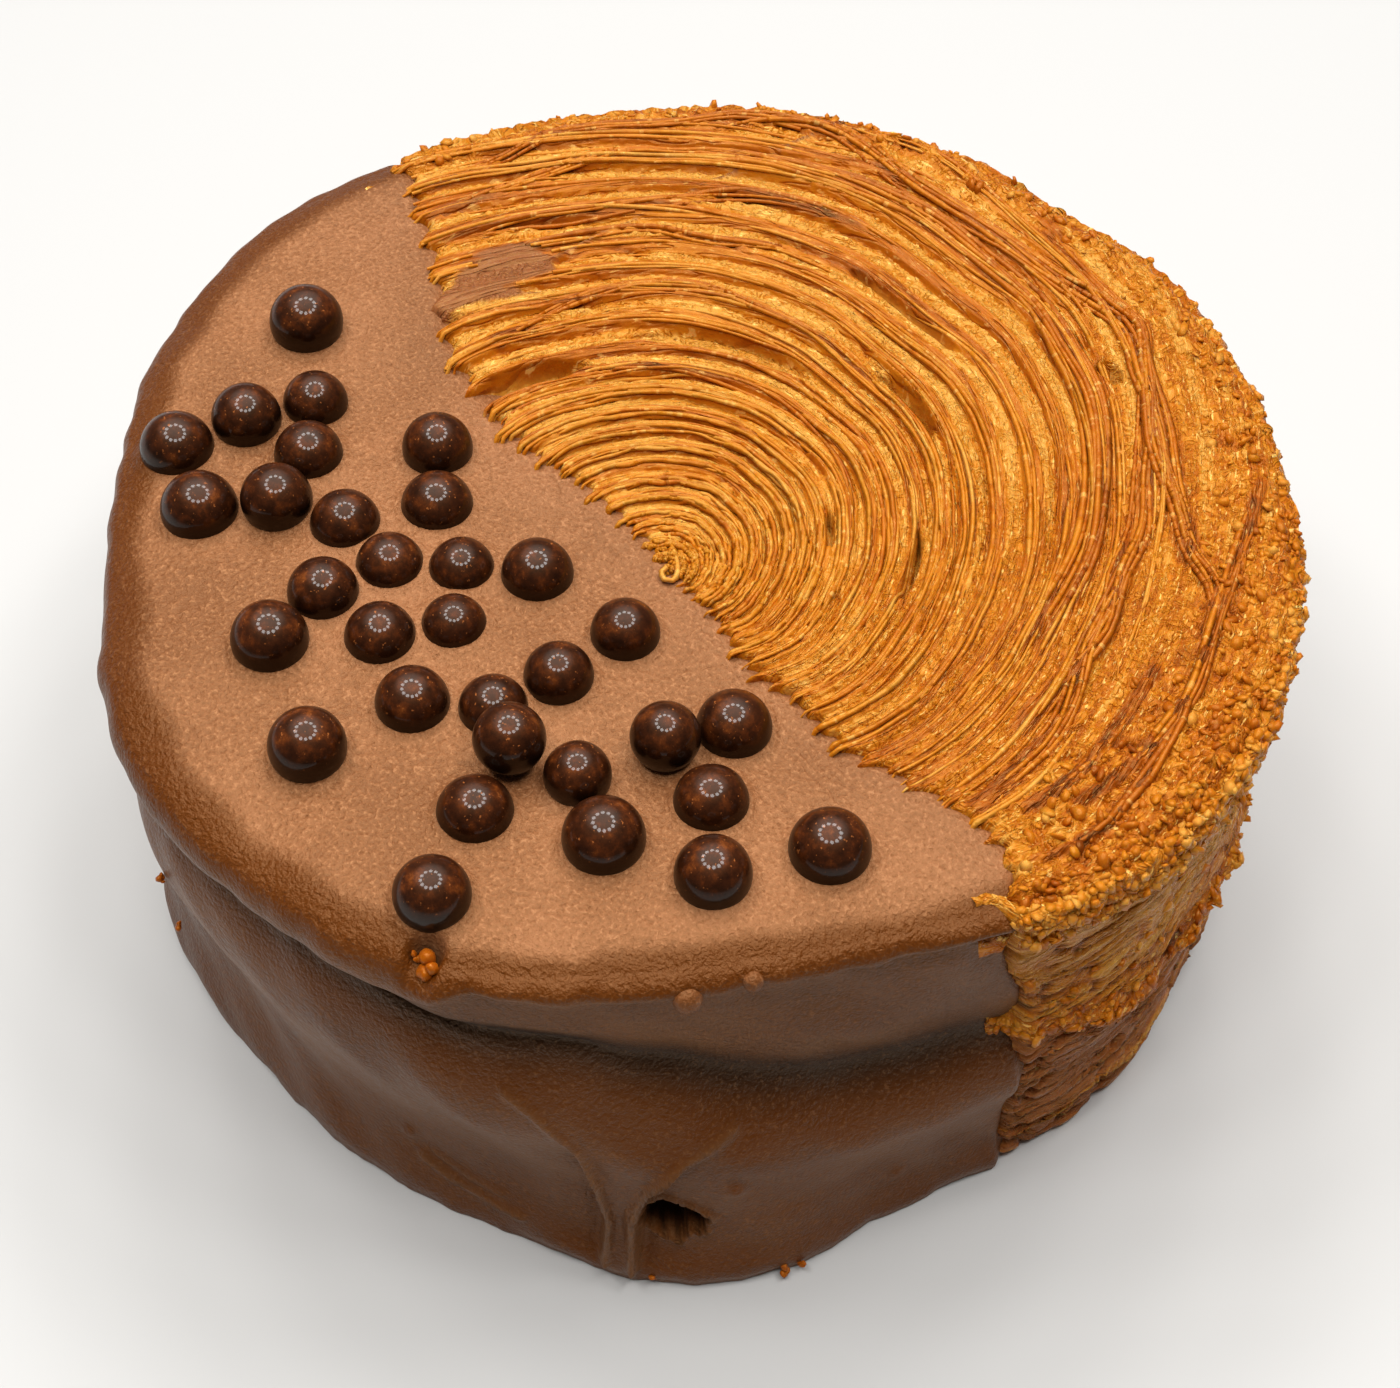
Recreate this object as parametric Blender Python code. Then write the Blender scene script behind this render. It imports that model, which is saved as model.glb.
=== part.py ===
# A round laminated pastry roll that stands on one flat face, half dipped in milk
# chocolate, with round chocolate pearls pressed into the chocolate of its top.
# +Z is up, the floor is z = 0, the bare crust is on +Y and the dipped half on -Y.
import math
import random

import bpy
import numpy as np
from mathutils import Matrix, Vector, noise

mm = 0.001
degree = math.pi / 180

# The whole roll
roll_radius = 53 * mm
roll_height = 45.5 * mm
gap = 0.3 * mm  # kept between two pieces that touch
centre_shift = (0.67 * mm, 0.94 * mm)  # brings the middle of the finished roll over the origin
outline_swells = (  # angle, half width, share of the radius: the roll isn't a true circle
    (191, 26, 0.028),
    (236, 30, -0.042),
    (271, 27, 0.024),
    (300, 23, 0.022),
    (338, 36, -0.050),
    (13, 31, 0.022),
    (40, 25, 0.012),
    (103, 17, -0.020),
)
foot_share = 0.980  # radius of the dipped foot, as a share of the roll's radius
foot_swells = ((327, 26, 0.050), (252, 24, 0.036), (20, 24, 0.030))

# The spiral of the rolled dough, seen on the bare half of the top
eye = (6.6 * mm, -7.1 * mm)
spiral_start = 35  # the layers close in on the eye clockwise, down to this angle
spiral_end = 200
spiral_drop = 0.095  # share of the radius that a layer loses in one radian
layer_pitch = 0.058  # share of the radius from one raised layer to the next
layer_height = 1.15 * mm
rim_grain = 0.75 * mm
rim_grain_size = 2.9 * mm
open_gaps = (  # angle from, angle to, distance from the eye, half width, depth (mm)
    (44, 66, 21.0, 0.9, 2.2),
    (90, 106, 31.0, 0.9, 1.8),
    (165, 184, 26.0, 1.2, 2.0),
    (172, 184, 37.0, 0.9, 1.8),
    (70, 84, 45.0, 0.8, 1.5),
)

# Outer shape of the bare crust and of the chocolate: share of the height, of the radius
crust_profile = (
    (0.000, 0.948),
    (0.018, 0.972),
    (0.080, 0.984),
    (0.300, 0.982),
    (0.430, 0.996),
    (0.560, 0.981),
    (0.780, 0.985),
    (0.900, 1.000),
    (0.965, 0.995),
    (1.000, 0.965),
)
coat_profile = (
    (0.000, 0.945),
    (0.015, 0.972),
    (0.060, 0.988),
    (0.150, 0.970),
    (0.320, 0.962),
    (0.520, 0.972),
    (0.680, 0.990),
    (0.760, 0.974),
    (0.840, 0.957),
    (0.900, 0.964),
    (0.940, 0.998),
    (0.968, 1.012),
    (0.990, 0.998),
    (1.000, 0.965),
)
foot_height = 0.45  # the foot's own outline fades out at this share of the height
side_layer_pitch = 3.1 * mm
side_layer_depth = 0.75 * mm

# The chocolate coat
coat_on_top = 4.5 * mm
coat_on_side = 1.6 * mm
coat_below = 1.3 * mm
coat_wave = 0.45 * mm
dip_line = (  # where the chocolate ends on the top, x and y (mm)
    (-75.0, 2.5),
    (-52.8, 2.1),
    (-42.0, -2.6),
    (-30.0, -7.6),
    (-19.8, -9.8),
    (-9.0, -9.2),
    (2.0, -8.6),
    (14.0, -8.0),
    (30.6, -6.7),
    (42.0, -3.6),
    (47.6, -3.2),
    (52.0, -5.4),
    (75.0, -5.4),
)
dip_teeth = 0.8 * mm  # the chocolate runs into the grooves between the layers
dip_tooth_pitch = 3.4 * mm
edge_gap = 0.5 * gap * 1.4  # crust and chocolate each keep back this far along y, as their edge slants
core_reach = 1.5 * mm  # the dough's core under the chocolate goes this far in under the bare crust
drips = (  # runs of chocolate on the side: angle and height (mm) of each end, half width
    (311.0, 24.0, 315.5, 16.0, 1.9),
    (325.0, 20.5, 319.5, 12.0, 2.1),
    (315.5, 16.0, 317.5, 3.0, 1.9),
    (319.5, 12.0, 317.5, 3.0, 1.9),
)
drip_height = 1.2 * mm
burst_bubble = (322.8, 7.2)  # angle and height (mm) of its middle
bubble_radius = 2.3 * mm
bubble_depth = 1.0 * mm
bubble_lip = 0.5 * mm

# Pearls: x, y, diameter (mm), and height of the middle over the chocolate in radii
pearls = (
    (-37.5, -17.7, 6.9, 0.35),
    (-30.1, -28.4, 6.4, 0.30),
    (-28.6, -22.2, 6.0, 0.15),
    (-31.0, -34.6, 6.6, 0.05),
    (-23.4, -25.8, 6.3, 0.05),
    (-23.0, -36.5, 6.9, 0.05),
    (-19.6, -30.9, 6.4, 0.35),
    (-14.3, -27.4, 6.2, 0.05),
    (-17.0, -16.0, 6.4, 0.20),
    (-11.6, -19.4, 6.4, 0.00),
    (-8.2, -26.5, 6.0, 0.05),
    (-8.4, -32.6, 6.2, 0.20),
    (-4.2, -21.8, 5.9, 0.00),
    (0.4, -16.6, 6.3, 0.10),
    (-1.6, -31.2, 6.2, 0.05),
    (0.8, -25.4, 5.9, 0.00),
    (-6.3, -39.2, 6.6, 0.25),
    (6.1, -32.7, 6.3, 0.10),
    (10.4, -14.2, 6.0, 0.25),
    (11.0, -21.6, 5.9, 0.25),
    (10.6, -27.3, 5.9, 0.05),
    (15.9, -29.1, 6.2, 0.95),
    (20.6, -26.0, 5.7, 0.25),
    (18.4, -34.2, 6.4, 0.00),
    (26.8, -27.5, 6.8, 0.25),
    (5.5, -42.3, 6.6, 0.35),
    (22.4, -18.3, 6.0, 0.70),
    (23.6, -12.4, 6.3, 0.00),
    (28.6, -18.2, 6.4, 0.00),
    (34.9, -22.5, 6.4, 0.35),
    (38.1, -13.4, 6.7, 0.15),
    (23.6, -41.5, 6.4, 0.30),
)
pearl_seed = 7

# Fineness of the solids
round_steps = 240
top_steps = 56
core_steps = 48
crust_keep = 0.115  # share of the faces that is kept once the relief is in
coat_keep = 0.08


def clear_scene():
    for found in list(bpy.data.objects):
        bpy.data.objects.remove(found, do_unlink=True)


def smooth_step(low, high, value):
    share = min(max((value - low) / (high - low), 0.0), 1.0)
    return share * share * (3 - 2 * share)


def turned(angle, centre):
    """Degrees from centre to angle, -180 to 180."""
    return (angle - centre + 180) % 360 - 180


def swelling(angle, swells):
    total = 0.0
    for centre, half_width, amount in swells:
        away = abs(turned(angle, centre)) / half_width
        if away < 1:
            total += amount * (0.5 + 0.5 * math.cos(math.pi * away))
    return total


def outline(angle):
    return roll_radius * (1 + swelling(angle, outline_swells))


def profile_share(profile, height):
    heights, shares = zip(*profile)
    return float(np.interp(height, heights, shares))


def dip_edge(x):
    """The y at which the chocolate ends."""
    xs, ys = zip(*dip_line)
    smooth = float(np.mean([np.interp(x / mm + shift, xs, ys) for shift in (-4, -2, 0, 2, 4)])) * mm
    ragged = noise.noise(Vector((x / dip_tooth_pitch, 3.7, 0.0)))
    return smooth + dip_teeth * ragged * smooth_step(1.15, 0.9, abs(x) / roll_radius)


def layer_relief(share, angle):
    """Height of the rolled layers on the top, at a share of the way from the eye to the rim."""
    turn = (min(max(angle, spiral_start), spiral_end) - spiral_start) * degree
    layer = share - spiral_drop * turn
    wobble = 0.45 * noise.noise(Vector((2.2 * angle * degree, 4 * layer, 1.5)))
    wave = 0.5 + 0.5 * math.cos(2 * math.pi * (layer / layer_pitch + wobble))
    strength = 0.62 + 0.55 * noise.noise(Vector((1.5 * angle * degree, 9 * layer, 8.2)))
    near_eye = smooth_step(0.05, 0.25, share)
    height = layer_height * strength * (wave**0.8 - 0.55) * (0.45 + 0.55 * near_eye)
    for first, last, away, half_width, depth in open_gaps:
        along = smooth_step(first - 6, first + 3, angle) * smooth_step(last + 6, last - 3, angle)
        across = (share * roll_radius / mm - away) / half_width
        height -= depth * mm * along * math.exp(-across * across)
    return height


def grain(point, seed):
    place = Vector(point) / rim_grain_size
    return noise.noise(place + Vector((seed, seed, seed)))


def bare(x, y):
    """1 on the crust, 0 well inside the chocolate, where the crust is smooth."""
    return smooth_step(-4 * mm, -1 * mm, y - dip_edge(x))


def crust_side(angle, height):
    """Radius of the bare crust at a share of the height."""
    radius = outline(angle) * profile_share(crust_profile, height)
    z = height * roll_height
    x = radius * math.cos(angle * degree)
    y = radius * math.sin(angle * degree)
    lean = 0.6 * noise.noise(Vector((x / (14 * mm), y / (14 * mm), 5.0)))
    wave = math.cos(2 * math.pi * (z / side_layer_pitch + 1.6 * lean))
    level = smooth_step(0.05, 0.15, height) * smooth_step(0.95, 0.85, height)
    rough = 0.35 + 0.65 * smooth_step(0.80, 0.92, height)
    relief = side_layer_depth * (0.4 * wave - 0.2) * level
    relief += rim_grain * rough * grain((x, y, z), 2.0) * smooth_step(0.03, 0.12, height)
    return radius + relief * bare(x, y)


def crust_ring(height):
    ring = []
    for step in range(round_steps):
        angle = 360 * step / round_steps
        radius = crust_side(angle, height)
        x = radius * math.cos(angle * degree)
        y = radius * math.sin(angle * degree)
        ring.append((x, y, height * roll_height))
    return ring


def crust_top_ring(share):
    """A ring of the top, at a share of the way from the eye to the rim."""
    ring = []
    for step in range(round_steps):
        angle = 360 * step / round_steps
        rim = outline(angle) * profile_share(crust_profile, 1.0)
        x = eye[0] + share * (rim * math.cos(angle * degree) - eye[0])
        y = eye[1] + share * (rim * math.sin(angle * degree) - eye[1])
        from_eye = math.degrees(math.atan2(y - eye[1], x - eye[0]))
        from_eye = from_eye + 360 if from_eye < -90 else from_eye
        edge = smooth_step(1.0, 0.93, share)
        relief = layer_relief(share, from_eye) * edge
        relief += rim_grain * grain((x, y, roll_height), 2.0) * smooth_step(0.84, 0.93, share)
        dome = 0.6 * mm * smooth_step(0.9, 1.0, share)
        ring.append((x, y, roll_height + relief * bare(x, y) - dome))
    return ring


def coat_top(x, y):
    """Height of the chocolate's top, which lies in soft waves."""
    wave = noise.noise(Vector((x / (17 * mm), y / (17 * mm), 4.0)))
    return roll_height - 0.25 * mm + coat_wave * wave


def drip_relief(angle, z):
    """How far the runs and the burst bubble stand out from the side."""
    total = 0.0
    arc = roll_radius * degree
    for first_angle, first_z, last_angle, last_z, half_width in drips:
        ax = turned(angle, first_angle) * arc
        az = z - first_z * mm
        bx = (last_angle - first_angle) * arc
        bz = (last_z - first_z) * mm
        along = min(max((ax * bx + az * bz) / (bx * bx + bz * bz), 0.0), 1.0)
        away = math.hypot(ax - along * bx, az - along * bz) / (half_width * mm)
        total = max(total, drip_height * math.exp(-away * away))
    bubble_away = math.hypot(turned(angle, burst_bubble[0]) * arc, z - burst_bubble[1] * mm)
    inside = smooth_step(1.1, 0.7, bubble_away / bubble_radius)
    rim = math.exp(-(((bubble_away - 1.25 * bubble_radius) / (0.4 * bubble_radius)) ** 2))
    return total * (1 - inside) + bubble_lip * rim - bubble_depth * inside


def coat_side(angle, height):
    """Radius of the chocolate's outside at a share of the height, without its relief."""
    foot = foot_share + swelling(angle, foot_swells)
    at_foot = smooth_step(foot_height, 0.05, height)
    plan = outline(angle) * (1 - at_foot) + roll_radius * foot * at_foot
    return plan * profile_share(coat_profile, height)


def coat_ring(height):
    """A ring of the chocolate's side, with its waves, runs and burst bubble."""
    level = smooth_step(0.02, 0.12, height) * smooth_step(0.99, 0.93, height)
    ring = []
    for step in range(round_steps):
        angle = 360 * step / round_steps
        across = math.cos(angle * degree)
        along = math.sin(angle * degree)
        radius = coat_side(angle, height)
        z = height * roll_height
        soft = noise.noise(Vector((radius * across, radius * along, 1.4 * z)) / (9 * mm))
        radius += (0.55 * mm * soft + drip_relief(angle, z)) * level
        x = radius * across
        y = radius * along
        ring.append((x, y, z + (coat_top(x, y) - roll_height) * smooth_step(0.6, 1.0, height)))
    return ring


def coat_form():
    heights = [height for height, share in coat_profile]
    heights += [0.5 * (low + high) for low, high in zip(heights[1:], heights[2:])]
    heights += [0.10, 0.20, 0.26, 0.38, 0.48]
    side_rings = [coat_ring(height) for height in sorted(heights)]
    rim = side_rings[-1]
    floor_rings = [[(x * share, y * share, 0.0) for x, y, z in side_rings[0]] for share in (0.4, 0.8)]
    top_rings = []
    for share in np.linspace(0.97, 0.05, 14):
        top_rings.append([(x * share, y * share, coat_top(x * share, y * share)) for x, y, z in rim])
    return closed_form("coat_form", floor_rings + side_rings + top_rings, (0, 0, 0), (0, 0, coat_top(0, 0)))


def core_form(name, grown):
    """The dough under the chocolate, grown by the gap where it is used as a cutter."""
    floor = coat_below - grown
    ceiling = roll_height - coat_on_top + grown
    rings = []
    for z in np.linspace(floor, ceiling, 8):
        ring = []
        nearby = [min(max(z / roll_height + reach, 0.0), 0.93) for reach in (-0.07, -0.035, 0, 0.035, 0.07)]
        for step in range(core_steps):
            angle = 360 * step / core_steps
            radius = min(coat_side(angle, height) for height in nearby) - coat_on_side + grown
            ring.append((radius * math.cos(angle * degree), radius * math.sin(angle * degree), z))
        rings.append(ring)
    return closed_form(name, rings, (0, 0, floor), (0, 0, ceiling))


def closed_form(name, rings, bottom, top):
    """One closed mesh over a stack of rings, with a point at the middle of each end."""
    count = len(rings[0])
    points = [point for ring in rings for point in ring]
    first, last = len(points), len(points) + 1
    points += [bottom, top]
    faces = []
    for level in range(len(rings) - 1):
        for step in range(count):
            a = level * count + step
            b = level * count + (step + 1) % count
            faces.append((a, b, b + count, a + count))
    upper = (len(rings) - 1) * count
    for step in range(count):
        after = (step + 1) % count
        faces.append((first, after, step))
        faces.append((last, upper + step, upper + after))
    mesh = bpy.data.meshes.new(name)
    mesh.from_pydata(points, [], faces)
    mesh.update()
    form = bpy.data.objects.new(name, mesh)
    bpy.context.collection.objects.link(form)
    return form


def crust_form():
    foot = crust_ring(0.0)
    floor_rings = [[(x * share, y * share, 0.0) for x, y, z in foot] for share in (0.3, 0.7, 0.9)]
    heights = np.concatenate(([0.0, 0.018, 0.05], np.linspace(0.085, 0.965, 34), [0.985]))
    side_rings = [crust_ring(float(height)) for height in heights]
    shares = np.linspace(1.0, 0.03, top_steps)
    top_rings = [crust_top_ring(float(share)) for share in shares]
    top = (eye[0], eye[1], roll_height)
    return closed_form("crust_form", floor_rings + side_rings + top_rings, (0, 0, 0), top)


def dip_block(name, shift):
    """A block over the dipped half, whose +Y face follows the end of the chocolate."""
    reach = 1.4 * roll_radius
    edge = []
    for x in np.linspace(-reach, reach, 97):
        edge.append((float(x), dip_edge(float(x)) + shift))
    edge += [(reach, -reach), (-reach, -reach)]
    count = len(edge)
    low, high = -5 * mm, roll_height + 8 * mm
    points = [(x, y, low) for x, y in edge] + [(x, y, high) for x, y in edge]
    faces = [tuple(range(count)), tuple(range(2 * count - 1, count - 1, -1))]
    for step in range(count):
        after = (step + 1) % count
        faces.append((after, step, step + count, after + count))
    mesh = bpy.data.meshes.new(name)
    mesh.from_pydata(points, [], faces)
    mesh.update()
    block = bpy.data.objects.new(name, mesh)
    bpy.context.collection.objects.link(block)
    return block


def helper(form):
    form.hide_render = True
    form.display_type = "WIRE"
    return form


def thin_out(form, keep):
    modifier = form.modifiers.new("fewer faces", "DECIMATE")
    modifier.ratio = keep


def boolean(form, other, operation, solver="EXACT"):
    modifier = form.modifiers.new(operation.lower() + " " + other.name, "BOOLEAN")
    modifier.operation = operation
    modifier.solver = solver
    if isinstance(other, bpy.types.Collection):
        modifier.operand_type = "COLLECTION"
        modifier.collection = other
    else:
        modifier.object = other


def material(name, colour, roughness):
    made = bpy.data.materials.new(name)
    made.use_nodes = True
    shader = made.node_tree.nodes["Principled BSDF"]
    shader.inputs["Base Color"].default_value = (*colour, 1.0)
    shader.inputs["Roughness"].default_value = roughness
    return made


def settled_pearls():
    """The pearls' middles and radii, nudged apart until neighbours clear each other."""
    middles, radii = [], []
    for x, y, diameter, lift in pearls:
        radius = 0.5 * diameter * mm
        z = coat_top(x * mm, y * mm) + lift * radius
        middles.append(Vector((x * mm, y * mm, z)))
        radii.append(radius)
    for sweep in range(60):
        for i in range(len(middles)):
            for j in range(i):
                apart = middles[i] - middles[j]
                short = radii[i] + radii[j] + gap - apart.length
                if short > 0:
                    push = apart.normalized() * 0.5 * short
                    push.z = 0.0
                    middles[i] += push
                    middles[j] -= push
    return middles, radii


def make_pastry(finish):
    pastry = crust_form()
    pastry.name = "pastry_roll"
    thin_out(pastry, crust_keep)
    core = helper(core_form("core", 0.0))
    boolean(core, helper(dip_block("core_limit", core_reach)), "INTERSECT")
    boolean(pastry, helper(dip_block("crust_limit", edge_gap)), "DIFFERENCE")
    boolean(pastry, core, "UNION")
    pastry.data.materials.append(finish)


def make_coat(finish, sockets):
    coat = coat_form()
    coat.name = "chocolate_coat"
    thin_out(coat, coat_keep)
    boolean(coat, helper(dip_block("coat_limit", -edge_gap)), "INTERSECT", "MANIFOLD")
    boolean(coat, helper(core_form("core_cutter", gap)), "DIFFERENCE", "MANIFOLD")
    boolean(coat, sockets, "DIFFERENCE", "MANIFOLD")
    coat.data.materials.append(finish)
    for face in coat.data.polygons:
        face.use_smooth = True


def make_pearls(finish):
    """Each pearl as its own object, and the sockets that they leave in the chocolate."""
    sockets = bpy.data.collections.new("sockets")
    bpy.context.scene.collection.children.link(sockets)
    draw = random.Random(pearl_seed)
    middles, radii = settled_pearls()
    for number, (middle, radius) in enumerate(zip(middles, radii), start=1):
        spin = Matrix.Rotation(draw.uniform(0, 2 * math.pi), 4, "Z")
        tilt = Matrix.Rotation(draw.uniform(0, math.pi), 4, "X")
        bpy.ops.mesh.primitive_ico_sphere_add(subdivisions=2, radius=radius)
        pearl = bpy.context.object
        pearl.name = f"pearl_{number:02d}"
        pearl.data.transform(spin @ tilt)
        pearl.location = middle
        pearl.data.materials.append(finish)
        for face in pearl.data.polygons:
            face.use_smooth = True
        socket = bpy.data.objects.new(f"socket_{number:02d}", pearl.data.copy())
        socket.data.transform(Matrix.Scale((radius + gap) / radius, 4))
        socket.location = middle
        sockets.objects.link(helper(socket))
    return sockets


def centre_over_origin():
    for shifted in bpy.data.objects:
        shifted.location.x += centre_shift[0]
        shifted.location.y += centre_shift[1]


def main():
    clear_scene()
    crust = material("crust", (0.56, 0.21, 0.035), 0.55)
    chocolate = material("milk chocolate", (0.27, 0.115, 0.052), 0.42)
    dark = material("dark chocolate", (0.048, 0.017, 0.008), 0.28)
    sockets = make_pearls(dark)
    make_pastry(crust)
    make_coat(chocolate, sockets)
    centre_over_origin()


main()
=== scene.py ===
import math
from functools import partial
import bpy
import numpy as np
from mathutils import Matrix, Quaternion, Vector


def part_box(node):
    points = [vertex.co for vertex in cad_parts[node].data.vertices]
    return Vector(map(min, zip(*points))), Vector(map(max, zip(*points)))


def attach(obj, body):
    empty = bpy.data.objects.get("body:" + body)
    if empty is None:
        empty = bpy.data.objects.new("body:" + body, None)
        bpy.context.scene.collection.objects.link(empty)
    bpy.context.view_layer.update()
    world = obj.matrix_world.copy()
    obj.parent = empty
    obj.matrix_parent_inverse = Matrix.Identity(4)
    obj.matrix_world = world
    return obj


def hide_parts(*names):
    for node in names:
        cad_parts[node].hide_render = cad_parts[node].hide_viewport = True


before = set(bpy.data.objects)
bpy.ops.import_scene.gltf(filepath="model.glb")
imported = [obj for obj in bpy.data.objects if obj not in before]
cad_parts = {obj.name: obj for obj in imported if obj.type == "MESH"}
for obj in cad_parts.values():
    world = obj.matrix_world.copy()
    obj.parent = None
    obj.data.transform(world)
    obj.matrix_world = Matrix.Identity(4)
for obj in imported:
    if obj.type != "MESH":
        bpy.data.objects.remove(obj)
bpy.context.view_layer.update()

mm = 0.001

# The roll's own outline, the same sizes as the solids have. Everything below is in mm,
# round the roll's middle, and goes to metres when a mesh is made.
roll = {
    "radius": 53.0,
    "height": 45.5,
    "middle": (0.67, 0.94),
    "swells": ((191, 26, 0.028), (236, 30, -0.042), (271, 27, 0.024), (300, 23, 0.022), (338, 36, -0.050),
               (13, 31, 0.022), (40, 25, 0.012), (103, 17, -0.020)),
    "footShare": 0.980,
    "footSwells": ((327, 26, 0.050), (252, 24, 0.036), (20, 24, 0.030)),
    "topShare": 0.985,  # the layers wind out to this share of the outline
    "crustDrop": 2.8,  # how deep the crust sinks away under the chocolate
    "crustUnder": 3.0,  # and how far it goes on under it
    "dipLine": ((-75, 2.5), (-53, 1.8), (-47.5, 0), (-42, -2.2), (-36.7, -3.8), (-33, -6.5), (-30, -7.8),
                (-19.4, -9.8), (-13.4, -9.5), (-7.5, -7.9), (-2, -7.1), (3.5, -6.6), (7.8, -6.9),
                (11, -6.5), (17, -7.5), (21, -7.3), (25, -6.5), (31.4, -6.3), (35.2, -4.5), (39, -3.4),
                (43.8, -2.1), (46, -1.9), (48.8, -3.7), (52, -5.4), (75, -5.4)),
}


def smoothStep(low, high, value):
    share = np.clip((value - low) / (high - low), 0.0, 1.0)
    return share * share * (3 - 2 * share)


def hill(away):
    return np.exp(-np.square(away))


def swelling(angle, swells):
    total = np.zeros_like(angle)
    for centre, halfWidth, amount in swells:
        away = np.abs((angle - centre + 180) % 360 - 180) / halfWidth
        total += np.where(away < 1, amount * (0.5 + 0.5 * np.cos(np.pi * np.minimum(away, 1))), 0)
    return total


def outline(angle):
    return roll["radius"] * (1 + swelling(angle, roll["swells"]))


def curve(pairs, at):  # the value, at each place, of a line through the pairs
    places, values = zip(*pairs)
    return np.interp(at, places, values)


def softCurve(pairs, at, shifts):  # the same line with its corners rounded off
    return np.mean([curve(pairs, at + shift) for shift in shifts], axis=0)


def polar(angle, radius):  # a direction in degrees and a distance to x and y
    return radius * np.cos(np.radians(angle)), radius * np.sin(np.radians(angle))


def dipEdge(x):
    return softCurve(roll["dipLine"], x, (-1.5, -0.5, 0.5, 1.5))


def tipShape(index, part, width, along):  # how far each layer's end reaches out over the chocolate
    reach = (0.55 + 0.75 * noise2(index * 9.13 + 0.7, along / 60, 26)
             + 0.5 * noise2((index + part) * 3.1, along / 40, 27))
    return reach * np.clip(1 - np.abs(part - 0.5 * width - 0.08) / (0.5 * width + 0.05), -0.35, 1)


def fade(t):
    return t * t * t * (t * (t * 6 - 15) + 10)


noiseTables = {}


def noise2(x, y, seed):  # smooth noise of two coordinates, about -1 to 1
    if seed not in noiseTables:
        turns = np.random.default_rng(seed).random((256, 256)) * 2 * np.pi
        noiseTables[seed] = (np.cos(turns), np.sin(turns))
    gx, gy = noiseTables[seed]
    x, y = np.broadcast_arrays(np.asarray(x, float), np.asarray(y, float))
    ix, iy = np.floor(x).astype(int), np.floor(y).astype(int)
    fx, fy = x - ix, y - iy
    corners = []
    for dy in (0, 1):
        for dx in (0, 1):
            at = ((ix + dx) & 255, (iy + dy) & 255)
            corners.append(gx[at] * (fx - dx) + gy[at] * (fy - dy))
    u, v = fade(fx), fade(fy)
    low = corners[0] + u * (corners[1] - corners[0])
    high = corners[2] + u * (corners[3] - corners[2])
    return 1.5 * (low + v * (high - low))


def cells2(x, y, seed):  # distance to the nearest scattered point, and that point's own number
    key = ("cells", seed)
    if key not in noiseTables:
        noiseTables[key] = np.random.default_rng(seed).random((3, 256, 256))
    jx, jy, own = noiseTables[key]
    ix, iy = np.floor(x).astype(int), np.floor(y).astype(int)
    best = np.full(np.shape(x), 9.0)
    number = np.zeros(np.shape(x))
    for dy in (-1, 0, 1):
        for dx in (-1, 0, 1):
            at = ((ix + dx) & 255, (iy + dy) & 255)
            away = np.hypot(ix + dx + jx[at] - x, iy + dy + jy[at] - y)
            nearer = away < best
            best = np.where(nearer, away, best)
            number = np.where(nearer, own[at], number)
    return best, number


def lumps(x, y, size, seed):  # round lumps of about this size, 0 to 1
    away, number = cells2(x / size, y / size, seed)
    return np.clip(1 - 1.5 * away * away, 0, 1) * (0.45 + 0.55 * number)


def ridged(value):
    return 1 - np.minimum(np.abs(value) * 1.6, 1)


def terraces(across, along, pitch, seed, sharpness):
    # layers that stand up steeply on their inner side and fall off slowly outwards
    cell = across / pitch + 0.45 * noise2(across / (3.3 * pitch), along / 34, seed)
    index = np.floor(cell)
    part = cell - index
    tall = noise2(index * 7.31 + 0.5, along / 22, seed + 1) * 0.5 + 0.62
    return np.clip(tall, 0.12, 1) * smoothStep(0, sharpness, part) * (1 - part) ** 0.7, index


def showObject(name, data):
    made = bpy.data.objects.new(name, data)
    bpy.context.scene.collection.objects.link(made)
    return made


def newObject(name, points, edges, faces, masks):  # points in metres, masks with a value for every point
    mesh = bpy.data.meshes.new(name)
    mesh.from_pydata(points, edges, faces)
    piece = showObject(name, mesh)
    for mask, values in masks.items():
        addMask(piece, mask, values)
    return piece


def toMetres(points):  # from mm round the roll's middle
    return ((np.asarray(points) + (*roll["middle"], 0.0)) * mm).tolist()


def makePiece(name, points, faces, masks):
    piece = newObject(name, toMetres(points), [], faces, masks)
    piece.data.shade_smooth()
    piece.data.update()
    return piece


def addMask(piece, mask, values):
    layer = piece.data.attributes.new(mask, "FLOAT", "POINT")
    layer.data.foreach_set("value", np.asarray(values, np.float32))


def readMask(piece, mask):
    values = np.empty(len(piece.data.vertices), np.float32)
    piece.data.attributes[mask].data.foreach_get("value", values)
    return values


def upwardOf(piece):  # how far each point faces up (1) or down (-1)
    normals = np.empty(len(piece.data.vertices) * 3, np.float32)
    piece.data.vertex_normals.foreach_get("vector", normals)
    return normals[2::3]


def ringFaces(inner, innerCount, outer, outerCount):
    # faces between two rings, by the number of their first point and how many points they have;
    # the outer ring has the same or twice the number of points
    faces = []
    for step in range(innerCount):
        after = (step + 1) % innerCount
        if innerCount == outerCount:
            faces.append((inner + step, outer + step, outer + after, inner + after))
            continue
        first = outer + 2 * step
        last = outer + (2 * step + 2) % outerCount
        faces.append((inner + step, first, first + 1))
        faces.append((inner + step, first + 1, inner + after))
        faces.append((inner + after, first + 1, last))
    return faces


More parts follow.
